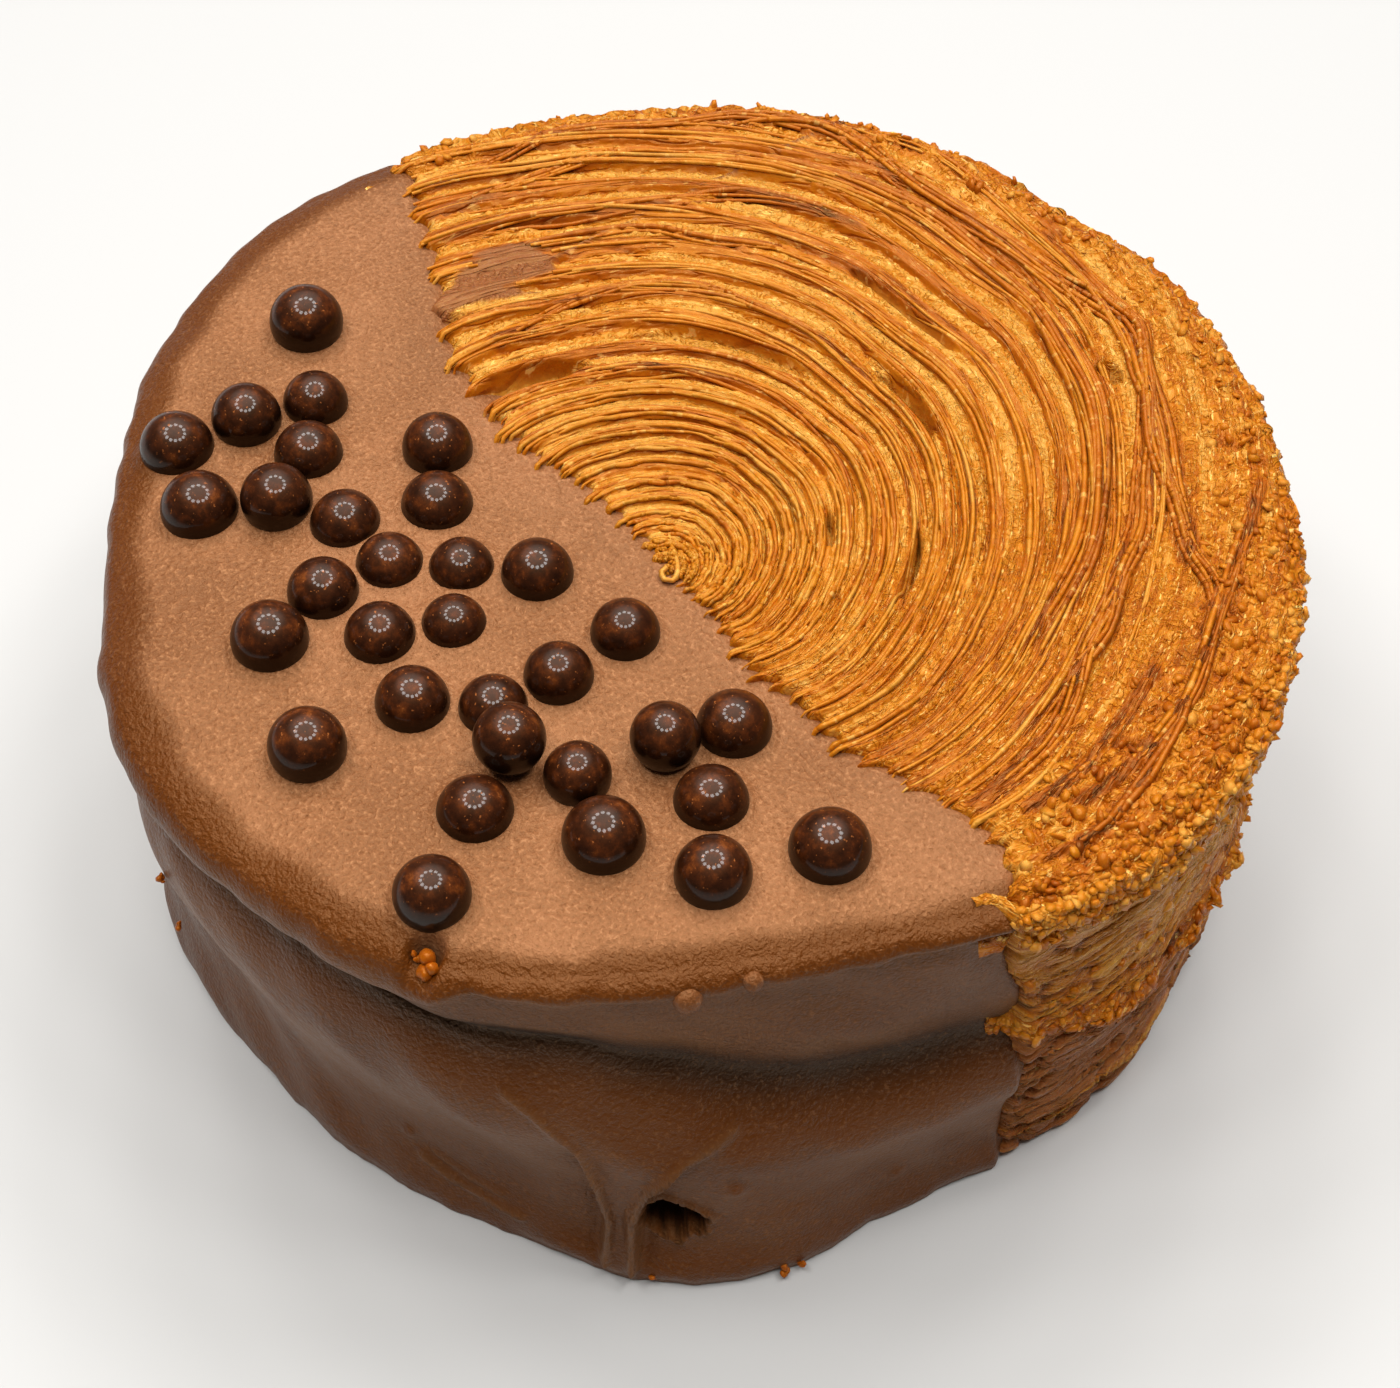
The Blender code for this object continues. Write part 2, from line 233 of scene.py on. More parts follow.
def keepFaces(points, faces, keep, masks):
    # drops the faces whose points are all outside keep, and the points that nothing uses
    faces = [face for face in faces if any(keep[i] for i in face)]
    used = np.zeros(len(points), bool)
    for face in faces:
        used[list(face)] = True
    place = np.cumsum(used) - 1
    faces = [tuple(int(place[i]) for i in face) for face in faces]
    return points[used], faces, {mask: values[used] for mask, values in masks.items()}


winding = {
    "eye": (6.6, -7.1),
    # how the layers close in on the eye, clockwise: direction from the eye in degrees, shrink
    "closing": ((-90, 0.17), (-20, 0.15), (9, 0.10), (20, 0.07), (34, 0.045), (48, 0.055), (60, 0.09),
                (90, 0.20), (120, 0.30), (150, 0.36), (180, 0.42), (220, 0.45), (270, 0.47)),
}


def rimFromEye(turn):
    ex, ey = winding["eye"]
    dx, dy = np.cos(np.radians(turn)), np.sin(np.radians(turn))
    reach = np.full(np.shape(turn), roll["radius"])
    for sweep in range(3):
        angle = np.degrees(np.arctan2(ey + reach * dy, ex + reach * dx))
        rim = outline(angle) * roll["topShare"]
        ahead = ex * dx + ey * dy
        reach = -ahead + np.sqrt(ahead * ahead - (ex * ex + ey * ey) + rim * rim)
    return reach


def closing(turn):
    return softCurve(winding["closing"], turn, (-8, -4, 0, 4, 8))


def windingOf(x, y):
    # layer: distance from the eye once the winding is undone; turn: direction from the eye
    ex, ey = winding["eye"]
    turn = np.degrees(np.arctan2(y - ey, x - ex))
    turn = np.where(turn < -90, turn + 360, turn)
    away = np.hypot(x - ex, y - ey)
    rim = rimFromEye(turn)
    layer = roll["radius"] * away / rim * np.exp(-closing(turn))
    return layer, turn, away, rim


def placeOf(layer, turn):
    ex, ey = winding["eye"]
    x, y = polar(turn, layer * np.exp(closing(turn)) * rimFromEye(turn) / roll["radius"])
    return ex + x, ey + y


crustTopLook = {
    # width of one layer and how high its edge stands, by distance from the eye
    "layerPitch": ((0, 0.95), (6, 1.15), (12, 1.5), (20, 2.1), (27, 2.5), (36, 2.5), (60, 2.3)),
    "layerHeight": ((0, 0.32), (6, 0.46), (14, 0.70), (24, 0.86), (32, 0.85), (40, 0.7), (60, 0.5)),
    "threadPitch": 0.56,
    "threadHeight": 0.20,
    "creviceDepth": 0.42,
    "slitDepth": 0.6,
    "wrinkleHeight": 0.33,
    "grainSize": 1.7,
    "grainHeight": 0.55,
    # granular band along the rim: direction from the eye, width
    "grainBand": ((-30, 6), (0, 7), (14, 8.5), (30, 9), (50, 8.5), (66, 6.5), (84, 4), (110, 2.8),
                  (140, 2.4), (180, 2)),
    # openings between layers: from, to (degrees), layer, half width, depth
    "openings": ((45, 66, 19.0, 0.50, 2.6), (88, 106, 21.7, 0.60, 2.0), (161, 190, 15.9, 0.75, 2.2),
                 (176, 188, 21.6, 0.5, 2.2), (66, 80, 12.2, 0.4, 1.6), (116, 152, 17.6, 0.7, 0.8),
                 (100, 120, 26.6, 0.35, 1.2)),
    # browner strands that lie over the layers: their routes, threads in each, half width
    "strands": (
        (((-41, 25), (-37, 35), (-31, 40), (-20, 41), (-10, 43), (-1, 44), (7, 45), (13, 42), (19, 39),
          (26, 34), (35, 29)), 5, 1.3),
        (((-38, 23), (-33, 30), (-26, 35), (-17, 39), (-10, 40), (-1, 40), (6, 38), (12, 36), (18, 32),
          (25, 25), (29, 18), (32, 10)), 6, 1.6),
        (((-12, 49), (-3, 47), (4, 46), (8, 46), (12, 43), (20, 37), (26, 34), (31, 31), (37, 29),
          (42, 22)), 4, 0.9),
        (((8, 46), (17, 39), (22, 34), (27, 29), (30, 24), (34, 19), (36, 12), (38, 5)), 4, 1.0),
        (((28, 43), (33, 36), (37, 30), (43, 21), (44, 18), (46, 11), (46, 4)), 3, 0.7),
        (((26, 31), (31, 23), (34, 17), (39, 10), (41, 3), (42, -3)), 4, 1.0),
        (((40, 25), (44, 19), (47, 13), (49, 6), (49, 2), (48, -2)), 2, 0.5),
        (((39, 21), (41, 16), (43, 11), (44, 7), (44, 1)), 3, 0.7),
        (((-48, 0), (-47, 9), (-47, 17), (-42, 26), (-37, 35), (-26, 42)), 3, 0.8),
        (((-44, -2), (-43, 10), (-41, 20), (-38, 25), (-33, 30), (-21, 38)), 4, 0.9),
        (((-40, -2), (-38, 7), (-33, 18), (-29, 26), (-23, 31), (-17, 34)), 4, 0.9),
        (((-36, -4), (-35, 5), (-31, 15), (-25, 20), (-19, 26), (-11, 30)), 3, 0.8),
        (((-26, -6), (-26, 5), (-23, 13), (-16, 18), (-7, 21), (0, 21)), 3, 0.7),
        (((-20, -10), (-19, -2), (-14, 6), (-6, 12), (2, 13), (9, 11), (15, 6)), 2, 0.5),
    ),
    "strandRise": 0.45,
}


def smoothLine(points, step):  # a rounded route through the points, with a place every step
    line = np.array(points, float)
    line = np.vstack((2 * line[0] - line[1], line, 2 * line[-1] - line[-2]))
    places = []
    for a, b, c, d in zip(line, line[1:], line[2:], line[3:]):
        many = max(int(np.hypot(*(c - b)) / step), 1)
        for t in np.arange(many) / many:
            places.append(0.5 * (2 * b + (c - a) * t + (2 * a - 5 * b + 4 * c - d) * t * t
                                 + (3 * b - a - 3 * c + d) * t ** 3))
    places.append(line[-2])
    return np.array(places)


strandLines = [(smoothLine(points, 2.0), halfWidth)
               for points, threads, halfWidth in crustTopLook["strands"]]


def fromLine(x, y, line):  # distance to the route, negative on its right, and how far along it
    best = np.full(np.shape(x), 99.0)
    share = np.zeros(np.shape(x))
    for step, (start, end) in enumerate(zip(line, line[1:])):
        dx, dy = end - start
        length = math.hypot(dx, dy)
        part = np.clip(((x - start[0]) * dx + (y - start[1]) * dy) / length ** 2, 0, 1)
        ox, oy = x - start[0] - part * dx, y - start[1] - part * dy
        away = np.hypot(ox, oy)
        nearer = away < np.abs(best)
        best = np.where(nearer, np.where(dx * oy - dy * ox < 0, -away, away), best)
        share = np.where(nearer, step + part, share)
    return best, share / (len(line) - 1)


tableStep = 0.2
layerTable = np.linspace(0, 90, 451)  # distances from the eye
layerCount = np.cumsum(tableStep / curve(crustTopLook["layerPitch"], layerTable))


def alongOf(layer, turn):  # distance travelled along the layers
    return np.radians(turn - 80) * np.clip(layer, 5, 50)


def layerCells(layer, along):  # the warped distance from the eye and the number of layers up to it
    calm = np.clip(layer / 22, 0, 1)
    across = (layer + calm * (0.75 * noise2(layer / 9, along / 28, 11)
                              + 0.22 * noise2(layer / 2.6, along / 11, 12)))
    count = np.interp(across, layerTable, layerCount)
    return across, count + 0.36 * calm * noise2(count / 2.7, along / 34, 20)


def crustTop(x, y):
    look = crustTopLook
    layer, turn, away, rim = windingOf(x, y)
    along = alongOf(layer, turn)
    fromRim = rim - away
    across, cell = layerCells(layer, along)

    # how granular and how fine each place is
    band = curve(look["grainBand"], turn) * (1 + 0.45 * noise2(x / 5, y / 5, 13))
    grain = smoothStep(band + 1.6, band - 1.4, fromRim)
    strip = smoothStep(34.6, 35.8, across) * smoothStep(44.5, 40.5, across) * smoothStep(104, 86, turn)
    far = smoothStep(45, 105, turn)  # the layers stand most open on the far side
    near = 1 - far
    inner = smoothStep(19, 9, layer)
    plain = 1 - grain

    # the layers' edges: a steep side towards the eye, a ridge of threads, a slope outwards
    index = np.floor(cell)
    part = cell - index
    tall = np.clip(0.68 + 0.7 * noise2(index * 7.31 + 0.5, along / 26, 21), 0.1, 1.2)
    width = 0.48 + 0.22 * noise2(index * 3.3 + 0.2, along / 20, 22) + 0.12 * near
    riser = smoothStep(0, 0.13, part)
    onRidge = riser * smoothStep(width + 0.10, width - 0.06, part)
    slope = riser * smoothStep(width - 0.02, width + 0.12, part)
    height = (curve(look["layerHeight"], layer) * tall
              * (riser * (1 - 0.9 * smoothStep(width * 0.8, 1.0, part)) - 0.5))
    height *= (1 - 0.75 * grain) * (1 - 0.5 * strip) * (0.6 + 0.4 * far + 0.25 * inner * near)
    gate = smoothStep(-0.15, 0.35, noise2(index * 5.7 + 0.1, along / 13, 23))
    crevice = hill(((part + 0.5) % 1 - 0.47) / 0.07) * gate * plain * (1 - 0.6 * strip)
    height -= look["creviceDepth"] * crevice * (0.4 + 0.6 * tall)

    # threads along the layers
    threadLine = across / look["threadPitch"] + 0.6 * noise2(across / 1.6, along / 13, 24)
    threadTall = 0.65 + 0.85 * noise2(np.floor(threadLine) * 4.7 + 0.3, along / 8, 25)
    thread = (0.5 + 0.5 * np.cos(2 * np.pi * threadLine)) * np.clip(threadTall, 0, 1.4)
    threads = (0.2 + 0.85 * onRidge + 0.5 * inner + 0.45 * near) * (1 - 0.8 * grain) * (1 - 0.8 * strip)
    height += look["threadHeight"] * np.clip(threads, 0, 1.2) * (thread - 0.45)

    # short dark slits, most of all near the eye
    slitLine = ridged(noise2(across / 0.72, along / (6.0 - 2.0 * inner), 33))
    slitGate = smoothStep(0.02, 0.32, noise2(across / 2.6, along / 9, 34) + 0.14 * inner - 0.10 * far)
    slit = smoothStep(0.80, 0.97, slitLine) * slitGate * plain * (1 - 0.8 * strip)
    height -= look["slitDepth"] * slit * (0.5 + 0.4 * inner)

    # crinkled skin between the ridges, blisters and flakes on the rim
    skin = np.clip(slope * (0.5 + 0.5 * far) * (1 - 0.6 * inner) + strip + 0.9 * grain
                   + 0.25 * near * (1 - inner), 0, 1)
    warpX, warpY = 0.8 * noise2(x / 1.6, y / 1.6, 47), 0.8 * noise2(x / 1.6, y / 1.6, 48)
    crinkle = ridged(noise2((x + warpX) / 1.25, (y + warpY) / 1.25, 46))
    finer = ridged(noise2(across / 0.62, along / 1.25 + 1.1 * noise2(x / 1.3, y / 1.3, 39), 40))
    height += look["wrinkleHeight"] * skin * ((1.25 * crinkle + 0.5 * finer - 0.8) * (grain + strip * plain)
                                              + (0.5 * crinkle + finer - 0.75) * plain * (1 - strip))
    coarse = lumps(x + 0.9 * noise2(x * 0.8, y * 0.8, 43), y + 0.9 * noise2(x * 0.8, y * 0.8, 44),
                   look["grainSize"], 41)
    small = lumps(x + 0.5 * noise2(x * 1.5, y * 1.5, 45), y, 0.8, 42)
    height += grain * (look["grainHeight"] * (coarse - 0.3) + 0.24 * (small - 0.3))

    # the browner strands over the layers
    brown = np.zeros_like(x)
    for number, (line, halfWidth) in enumerate(strandLines):
        off, share = fromLine(x, y, line)
        body = hill(off / halfWidth) * smoothStep(0, 0.06, share) * smoothStep(1, 0.94, share)
        height += look["strandRise"] * body * (0.7 + 0.3 * noise2(share * 7, number + 0.5, 50))
        brown = np.maximum(brown, smoothStep(0.15, 0.7, body))
    bare = 1 - brown

    # openings that look into the crumb
    inside = np.zeros_like(x)
    for first, last, place, halfWidth, depth in look["openings"]:
        taper = np.clip(1 - np.square((turn - 0.5 * (first + last)) / (0.5 * (last - first))), 0, 1) ** 0.5
        off = np.abs(across - place) / (halfWidth * np.maximum(taper, 0.02))
        hole = smoothStep(1.2, 0.7, off) * (taper > 0.02)
        height -= depth * hole * (0.85 + 0.15 * small)
        inside = np.maximum(inside, smoothStep(0.5, 1.0, hole) * min(1, depth / 1.8))
    pocket = np.hypot((x - 10.9) / 1.5, (y - 39.7) / 0.9)  # the small round hole beside the strands
    height -= 1.8 * smoothStep(1.15, 0.7, pocket)

    height += 0.35 * noise2(x / 15, y / 15, 60)
    height -= 0.8 * smoothStep(1.3, -0.5, fromRim) ** 1.5 + 1.2 * smoothStep(-0.15, -0.5, fromRim)

    # how far each place has baked: 0 pale, 1 nearly burnt; painted shade also makes the crevices, slits and
    # the hollows between lumps and wrinkles darker here, and a painted highlight makes the tops of the
    # threads lighter
    toast = (0.42 + 0.16 * onRidge * (0.5 + 0.5 * far) - 0.24 * slope * plain * (0.4 + 0.6 * far)
             + 0.20 * crevice + 0.26 * slit)
    toast += (0.30 * brown + 0.07 * noise2(x / 13, y / 13, 61)
              + 0.09 * noise2(index * 3.7 + 0.4, along / 22, 62))
    toast += (0.12 * noise2(across / 0.42, along / 9, 63) - 0.10 * (thread - 0.5)
              + 0.10 * near * smoothStep(18, 34, layer))
    toast += grain * (0.02 + 0.22 * (0.35 - coarse) + 0.16 * noise2(x / 2, y / 2, 64)) - 0.08 * strip * bare
    toast += skin * (0.17 * (0.55 - crinkle) - 0.09) * bare
    return height, {
        "toast": toast,
        "grain": grain * bare,
        "inside": inside,
        "across": across,
        "along": along,
        "skin": skin * bare,
        "edge": tipShape(index, part, width, along),
        "crumbs": grain * bare * (0.22 + 0.55 * smoothStep(4.0, 1.0, fromRim) * smoothStep(75, 20, turn)),
    }


def dipEdgeAt(x, z):  # the chocolate's edge, which reaches a little further round low on the near side
    return dipEdge(x) + 3.0 * smoothStep(40, 46, x) * smoothStep(40, 26, z)


def underDip(x, y, edge, drop, z=roll["height"]):  # how far the crust sinks away under the chocolate
    return drop * smoothStep(0.0, 1.5, dipEdgeAt(x, z) - y - 1.5 * edge + 0.75)


smearLook = {  # the thin stray patch of chocolate beside the edge, by its y: middle and half width
    "middle": ((-8, -32.0), (-4.6, -32.8), (0, -33.2), (3.8, -33.4), (5.7, -32.2)),
    "half": ((-8, 1.2), (-4.6, 1.3), (-1.7, 2.3), (1.8, 3.2), (3.8, 3.5), (5.9, 1.2), (6.4, 0.1)),
    "thickness": 0.28,
    "unevenness": 0.16,
    "cover": 0.72,  # how much of the layers' relief it hides
}


def smearOf(x, y):
    layer, turn = windingOf(x, y)[:2]
    shape = 1.1 - np.abs(x - curve(smearLook["middle"], y)) / curve(smearLook["half"], y)
    ragged = 0.45 * noise2(layer / 0.9, turn / 7, 80) + 0.15 * noise2(x / 1.1, y / 1.1, 81)
    return smoothStep(0.0, 0.22, shape + ragged)


crustTopRings = {  # rings of points round the eye, by how far they are from it on the longest way out
    "bands": (0.3, 9.5, 23, 48.5, 60.5),
    "counts": (112, 224, 448, 896),  # points in each ring of a band
    "steps": (0.13, 0.13, 0.135),  # mm between rings, in all bands but the last
    "rimRings": 56,
}


def buildCrustTop():
    look = crustTopRings
    bands = look["bands"]
    reach = bands[-1]
    distances = [np.arange(*band) for band in zip(bands, bands[1:], look["steps"])]
    shares = np.concatenate((*distances, np.linspace(bands[-2], reach, look["rimRings"]))) / reach
    rings, counts = [], []
    ex, ey = winding["eye"]
    for share in shares:
        counts.append(look["counts"][np.searchsorted(bands[1:-1], reach * share, "right")])
        turn = np.linspace(0, 360, counts[-1], endpoint=False)
        turn = np.where(turn > 270, turn - 360, turn)
        x, y = polar(turn, share * (rimFromEye(turn) + 0.5))
        rings.append(np.column_stack((ex + x, ey + y)))
    starts = np.concatenate(([0], np.cumsum(counts))).tolist()
    x, y = np.concatenate(rings + [np.array([[ex, ey]])]).T
    height, masks = crustTop(x, y)
    smear = smearOf(x, y)
    thickness = smearLook["thickness"] + smearLook["unevenness"] * noise2(x / 2.5, y / 2.5, 82)
    height = height * (1 - smearLook["cover"] * smear) + thickness * smear
    z = roll["height"] + height - underDip(x, y, masks.pop("edge"), roll["crustDrop"])
    masks["smear"] = smear
    faces = []
    for level in range(len(rings) - 1):
        faces += ringFaces(starts[level], counts[level], starts[level + 1], counts[level + 1])
    faces += [(starts[-1], step, (step + 1) % counts[0]) for step in range(counts[0])]
    keep = y > dipEdge(x) - roll["crustUnder"]
    points, faces, masks = keepFaces(np.column_stack((x, y, z)), faces, keep, masks)
    return makePiece("crustTop", points, faces, masks)


crustTopPiece = buildCrustTop()
print("crust top", len(crustTopPiece.data.polygons), "faces")

crustSideLook = {
    "profile": ((0.000, 0.948), (0.018, 0.972), (0.080, 0.984), (0.300, 0.982), (0.430, 0.996),
                (0.560, 0.981), (0.780, 0.985), (0.900, 0.999), (0.970, 1.002), (1.000, 0.988)),
    "layerPitch": 1.9,
    "layerDepth": 0.95,
    "finePitch": 0.62,
    "fineDepth": 0.40,
    "lipLow": 0.885,  # share of the height at which the granular lip starts
    "drop": 2.6,  # how deep it sinks in under the chocolate
    "tuck": ((1.2, 1.2), (2.6, 1.8)),  # last rings, under the top face: how far inwards and down
    "tuckShare": 0.965,
    "aroundCount": 760,
    "upCount": 165,
    "undersideShares": (0.02, 0.3, 0.6, 0.85, 0.96),
    "ridge": ((-30, 0.62), (0, 0.53), (13, 0.44), (40, 0.40), (80, 0.45), (120, 0.42), (160, 0.50),
              (190, 0.48)),
}


def crustSide(angle, height):
    look = crustSideLook
    radius = outline(angle) * curve(look["profile"], height)
    z = height * roll["height"]
    turn = (angle + 180) % 360 - 180
    along = np.radians(turn) * roll["radius"]
    lean = 1.7 * noise2(along / 34, z / 30, 100) + 1.1 * noise2(along / 5, z / 6, 101)
    across = z + lean
    ridgeAt = curve(look["ridge"], turn) + 0.02 * noise2(along / 7, 0.3, 110)
    ridge = hill((height - ridgeAt) / 0.030) * smoothStep(-0.45, 0.1, noise2(along / 6, 0.9, 121))
    lip = smoothStep(look["lipLow"] - 0.02, look["lipLow"] + 0.03, height
                     + 0.025 * noise2(along / 4, 0.7, 111))
    below = smoothStep(ridgeAt + 0.01, ridgeAt - 0.06, height)
    between = smoothStep(ridgeAt + 0.02, ridgeAt + 0.08, height) * (1 - lip)
    patchy = (smoothStep(0.0, 0.4, noise2(along / 8, z / 3.0, 109)) * between
              * smoothStep(0.86, 0.70, height))
    grain = np.clip(ridge + lip + 0.25 * patchy, 0, 1)
    plain = 1 - grain
    broad, broadIndex = terraces(across, along, look["layerPitch"], 105, 0.25)
    fine = terraces(across, along, look["finePitch"], 108, 0.35)[0]
    coarse = lumps(along + 0.5 * noise2(along, z, 113), z * 1.15, 1.35, 112)
    small = lumps(along, z, 0.62, 114)
    crinkle = ridged(noise2(along / 1.1 + 0.8 * noise2(along / 2, z / 2, 123), z / 0.9, 124))
    out = look["layerDepth"] * (broad - 0.4) * (0.60 + 0.95 * below)
    out += look["fineDepth"] * (fine - 0.4) * (1 - 0.6 * grain)
    out += (grain * (0.75 * (coarse - 0.25) + 0.25 * (small - 0.3) + 0.3 * (crinkle - 0.5)) + 0.45 * ridge
            + 0.25 * lip)
    # folds and small gaps between the layers of the lower side
    gapLine = ridged(noise2(across / 1.5, along / 5, 115))
    gaps = (smoothStep(0.64, 0.90, gapLine) * smoothStep(-0.50, 0.05, noise2(across / 5, along / 9, 116))
            * plain)
    threads = noise2(across / 0.42, along / 11, 119)
    crest = smoothStep(0.42, 0.66, 0.50 * broad + 0.40 * fine + 0.35 * noise2(across / 0.9, along / 6, 125))
    out -= 0.9 * gaps * (0.45 + 0.55 * below) - 0.20 * threads * plain
    out += 0.5 * noise2(along / 12, z / 12, 117)
    # how far each place has baked, with painted shade making the gaps, the low parts of the terraces and the
    # hollows between lumps darker, and a painted highlight making the crests, threads and raised fine layers
    # lighter
    toast = (0.42 + 0.16 * below - 0.12 * between + below * (0.5 * (0.35 - broad) - 0.30 * crest)
             + 0.62 * gaps - 0.22 * (fine - 0.4))
    toast += 0.10 * noise2(along / 14, z / 9, 118) - 0.42 * threads * plain
    toast += (0.10 * noise2(broadIndex * 3.7 + 0.4, along / 24, 120) - 0.02 * lip
              + grain * 0.35 * (0.3 - coarse))
    frontLip = lip * smoothStep(75, 20, np.abs(turn))
    return radius + out * smoothStep(0.0, 0.04, height), {
        "toast": toast,
        "grain": grain,
        "inside": 0.42 * between * (1 - 0.4 * patchy) * (1 - 0.8 * gaps),
        "across": across,
        "along": along,
        "smear": 0.80 * below * (1 - crest) * (1 - 0.75 * gaps) * (1 - 0.6 * grain),
        "skin": np.clip(grain + 0.3, 0, 1),
        "crumbs": np.clip(0.8 * frontLip + 0.15 * lip + 0.9 * ridge + 0.12 * patchy, 0, 1),
    }


def buildCrustSide():
    look = crustSideLook
    count = look["aroundCount"]
    angle = np.linspace(0, 360, count, endpoint=False)
    rows, allMasks = [], []

    def addRow(radius, z, masks):
        rows.append(np.column_stack((*polar(angle, radius), np.full(count, z))))
        allMasks.append(masks)

    radius, masks = crustSide(angle, np.zeros(count))
    for share in look["undersideShares"]:
        addRow(share * radius, 0.0, masks)
    for height in np.concatenate(([0.0, 0.008], np.linspace(0.02, 0.97, look["upCount"]), [0.98, 0.99])):
        radius, masks = crustSide(angle, np.full(count, height))
        addRow(radius, height * roll["height"], masks)
    for inwards, down in look["tuck"]:
        addRow(outline(angle) * look["tuckShare"] - inwards, roll["height"] - down, masks)
    points = np.concatenate(rows)
    masks = {mask: np.concatenate([row[mask] for row in allMasks]) for mask in masks}
    # the crust sinks in under the chocolate
    x, y, z = points.T
    ragged = 0.28 * noise2(masks["across"] / 1.1, 0.5, 122)
    sink = underDip(x, y, ragged, look["drop"], z) * smoothStep(0.0, 2.0, z)
    points[:, :2] *= (1 - sink / np.maximum(np.hypot(x, y), 3))[:, None]
    faces = []
    for low in range(0, len(points) - count, count):
        high = low + count
        for step in range(count):
            after = (step + 1) % count
            faces.append((low + step, low + after, high + after, high + step))
    keep = y > dipEdgeAt(x, z) - roll["crustUnder"]
    points, faces, masks = keepFaces(points, faces, keep, masks)
    return makePiece("crustSide", points, faces, masks)


crustSidePiece = buildCrustSide()
print("crust side", len(crustSidePiece.data.polygons), "faces")


def newTree(name, inputs):  # inputs: each one's name and kind; every tree has the last three
    tree = bpy.data.node_groups.new(name, "GeometryNodeTree")
    shared = (("Unevenness", "Float"), ("Lump Scale", "Float"), ("Finish", "Material"))
    for socketName, kind in (("Geometry", "Geometry"), *inputs, *shared):
        tree.interface.new_socket(socketName, in_out="INPUT", socket_type="NodeSocket" + kind)
    tree.interface.new_socket("Geometry", in_out="OUTPUT", socket_type="NodeSocketGeometry")
    return tree, tree.nodes.new("NodeGroupInput").outputs


def setInputs(tree, node, inputs):  # each input takes a value or the output of another node
    for socketName, value in inputs.items():
        if isinstance(value, bpy.types.NodeSocket):
            tree.links.new(value, node.inputs[socketName])
        else:
            node.inputs[socketName].default_value = value


def addNode(tree, kind, inputs=None, **settings):
    node = tree.nodes.new(kind)
    for setting, value in settings.items():
        setattr(node, setting, value)
    setInputs(tree, node, inputs or {})
    return node


def mathNode(tree, operation, first, second):
    return addNode(tree, "ShaderNodeMath", {0: first, 1: second}, operation=operation).outputs[0]


def namedValue(tree, name):
    return addNode(tree, "GeometryNodeInputNamedAttribute", {"Name": name},
                   data_type="FLOAT").outputs["Attribute"]


def randomNode(tree, low, high, seed=0):  # a random number, or three of them where low is a tuple
    if isinstance(low, tuple):
        inputs = {0: low, 1: high, "Seed": seed}
        return addNode(tree, "FunctionNodeRandomValue", inputs, data_type="FLOAT_VECTOR").outputs[0]
    inputs = {2: low, 3: high, "Seed": seed}
    return addNode(tree, "FunctionNodeRandomValue", inputs, data_type="FLOAT").outputs[1]


def endTree(tree, given, geometry):
    # makes it one mesh, pushes every point about by a smooth noise, smooths it and sets the material
    realize = addNode(tree, "GeometryNodeRealizeInstances", {0: geometry})
    position = addNode(tree, "GeometryNodeInputPosition").outputs[0]
    noise = addNode(tree, "ShaderNodeTexNoise",
                    {"Vector": position, "Scale": given["Lump Scale"], "Detail": 2.0},
                    noise_dimensions="3D")
    centred = addNode(tree, "ShaderNodeVectorMath", {0: noise.outputs["Color"], 1: (0.5, 0.5, 0.5)},
                      operation="SUBTRACT")
    push = addNode(tree, "ShaderNodeVectorMath", {0: centred.outputs[0], "Scale": given["Unevenness"]},
                   operation="SCALE")
    offset = addNode(tree, "GeometryNodeSetPosition",
                     {"Geometry": realize.outputs[0], "Offset": push.outputs[0]})
    smooth = addNode(tree, "GeometryNodeSetShadeSmooth", {"Geometry": offset.outputs[0]})
    finish = addNode(tree, "GeometryNodeSetMaterial",
                     {"Geometry": smooth.outputs[0], "Material": given["Finish"]})
    addNode(tree, "NodeGroupOutput", {0: finish.outputs[0]})


def endWithBalls(tree, given, points, rotation, scale):
    ball = addNode(tree, "GeometryNodeMeshIcoSphere", {"Radius": 1.0, "Subdivisions": given["Roundness"]})
    placed = addNode(tree, "GeometryNodeInstanceOnPoints", {
        "Points": points, "Instance": ball.outputs["Mesh"], "Rotation": rotation, "Scale": scale})
    endTree(tree, given, placed.outputs[0])


def runTree(source, tree, name, values):
    # runs the tree on the source object and returns the result as a plain mesh object
    modifier = source.modifiers.new(tree.name, "NODES")
    modifier.node_group = tree
    for item in tree.interface.items_tree:
        if item.item_type == "SOCKET" and item.in_out == "INPUT" and item.name in values:
            modifier[item.identifier] = values[item.name]
    graph = bpy.context.evaluated_depsgraph_get()
    mesh = bpy.data.meshes.new_from_object(source.evaluated_get(graph))
    mesh.name = name
    source.modifiers.clear()
    bpy.data.objects.remove(source, do_unlink=True)
    return showObject(name, mesh)


def srgb(red, green, blue):
    def linear(value):
        value /= 255
        return value / 12.92 if value <= 0.04045 else ((value + 0.055) / 1.055) ** 2.4
    return (linear(red), linear(green), linear(blue), 1.0)


def newMaterial(name):
    made = bpy.data.materials.new(name)
    made.use_nodes = True
    return made, made.node_tree


def setShader(tree, inputs):
    setInputs(tree, tree.nodes["Principled BSDF"], inputs)


def sums(tree):  # times, plus and minus for one node tree
    return [partial(mathNode, tree, operation) for operation in ("MULTIPLY", "ADD", "SUBTRACT")]


def mixColour(tree, factor, first, second):
    return addNode(tree, "ShaderNodeMix", {0: factor, 6: first, 7: second}, data_type="RGBA").outputs[2]


def ramp(tree, factor, stops, colours=None):  # stops: a place with a grey level or a colour's name
    node = addNode(tree, "ShaderNodeValToRGB", {0: factor})
    elements = node.color_ramp.elements
    while len(elements) < len(stops):
        elements.new(0.5)
    for element, (position, colour) in zip(elements, stops):
        element.position = position
        element.color = colours[colour] if colours else (colour, colour, colour, 1)
    return node.outputs[0]


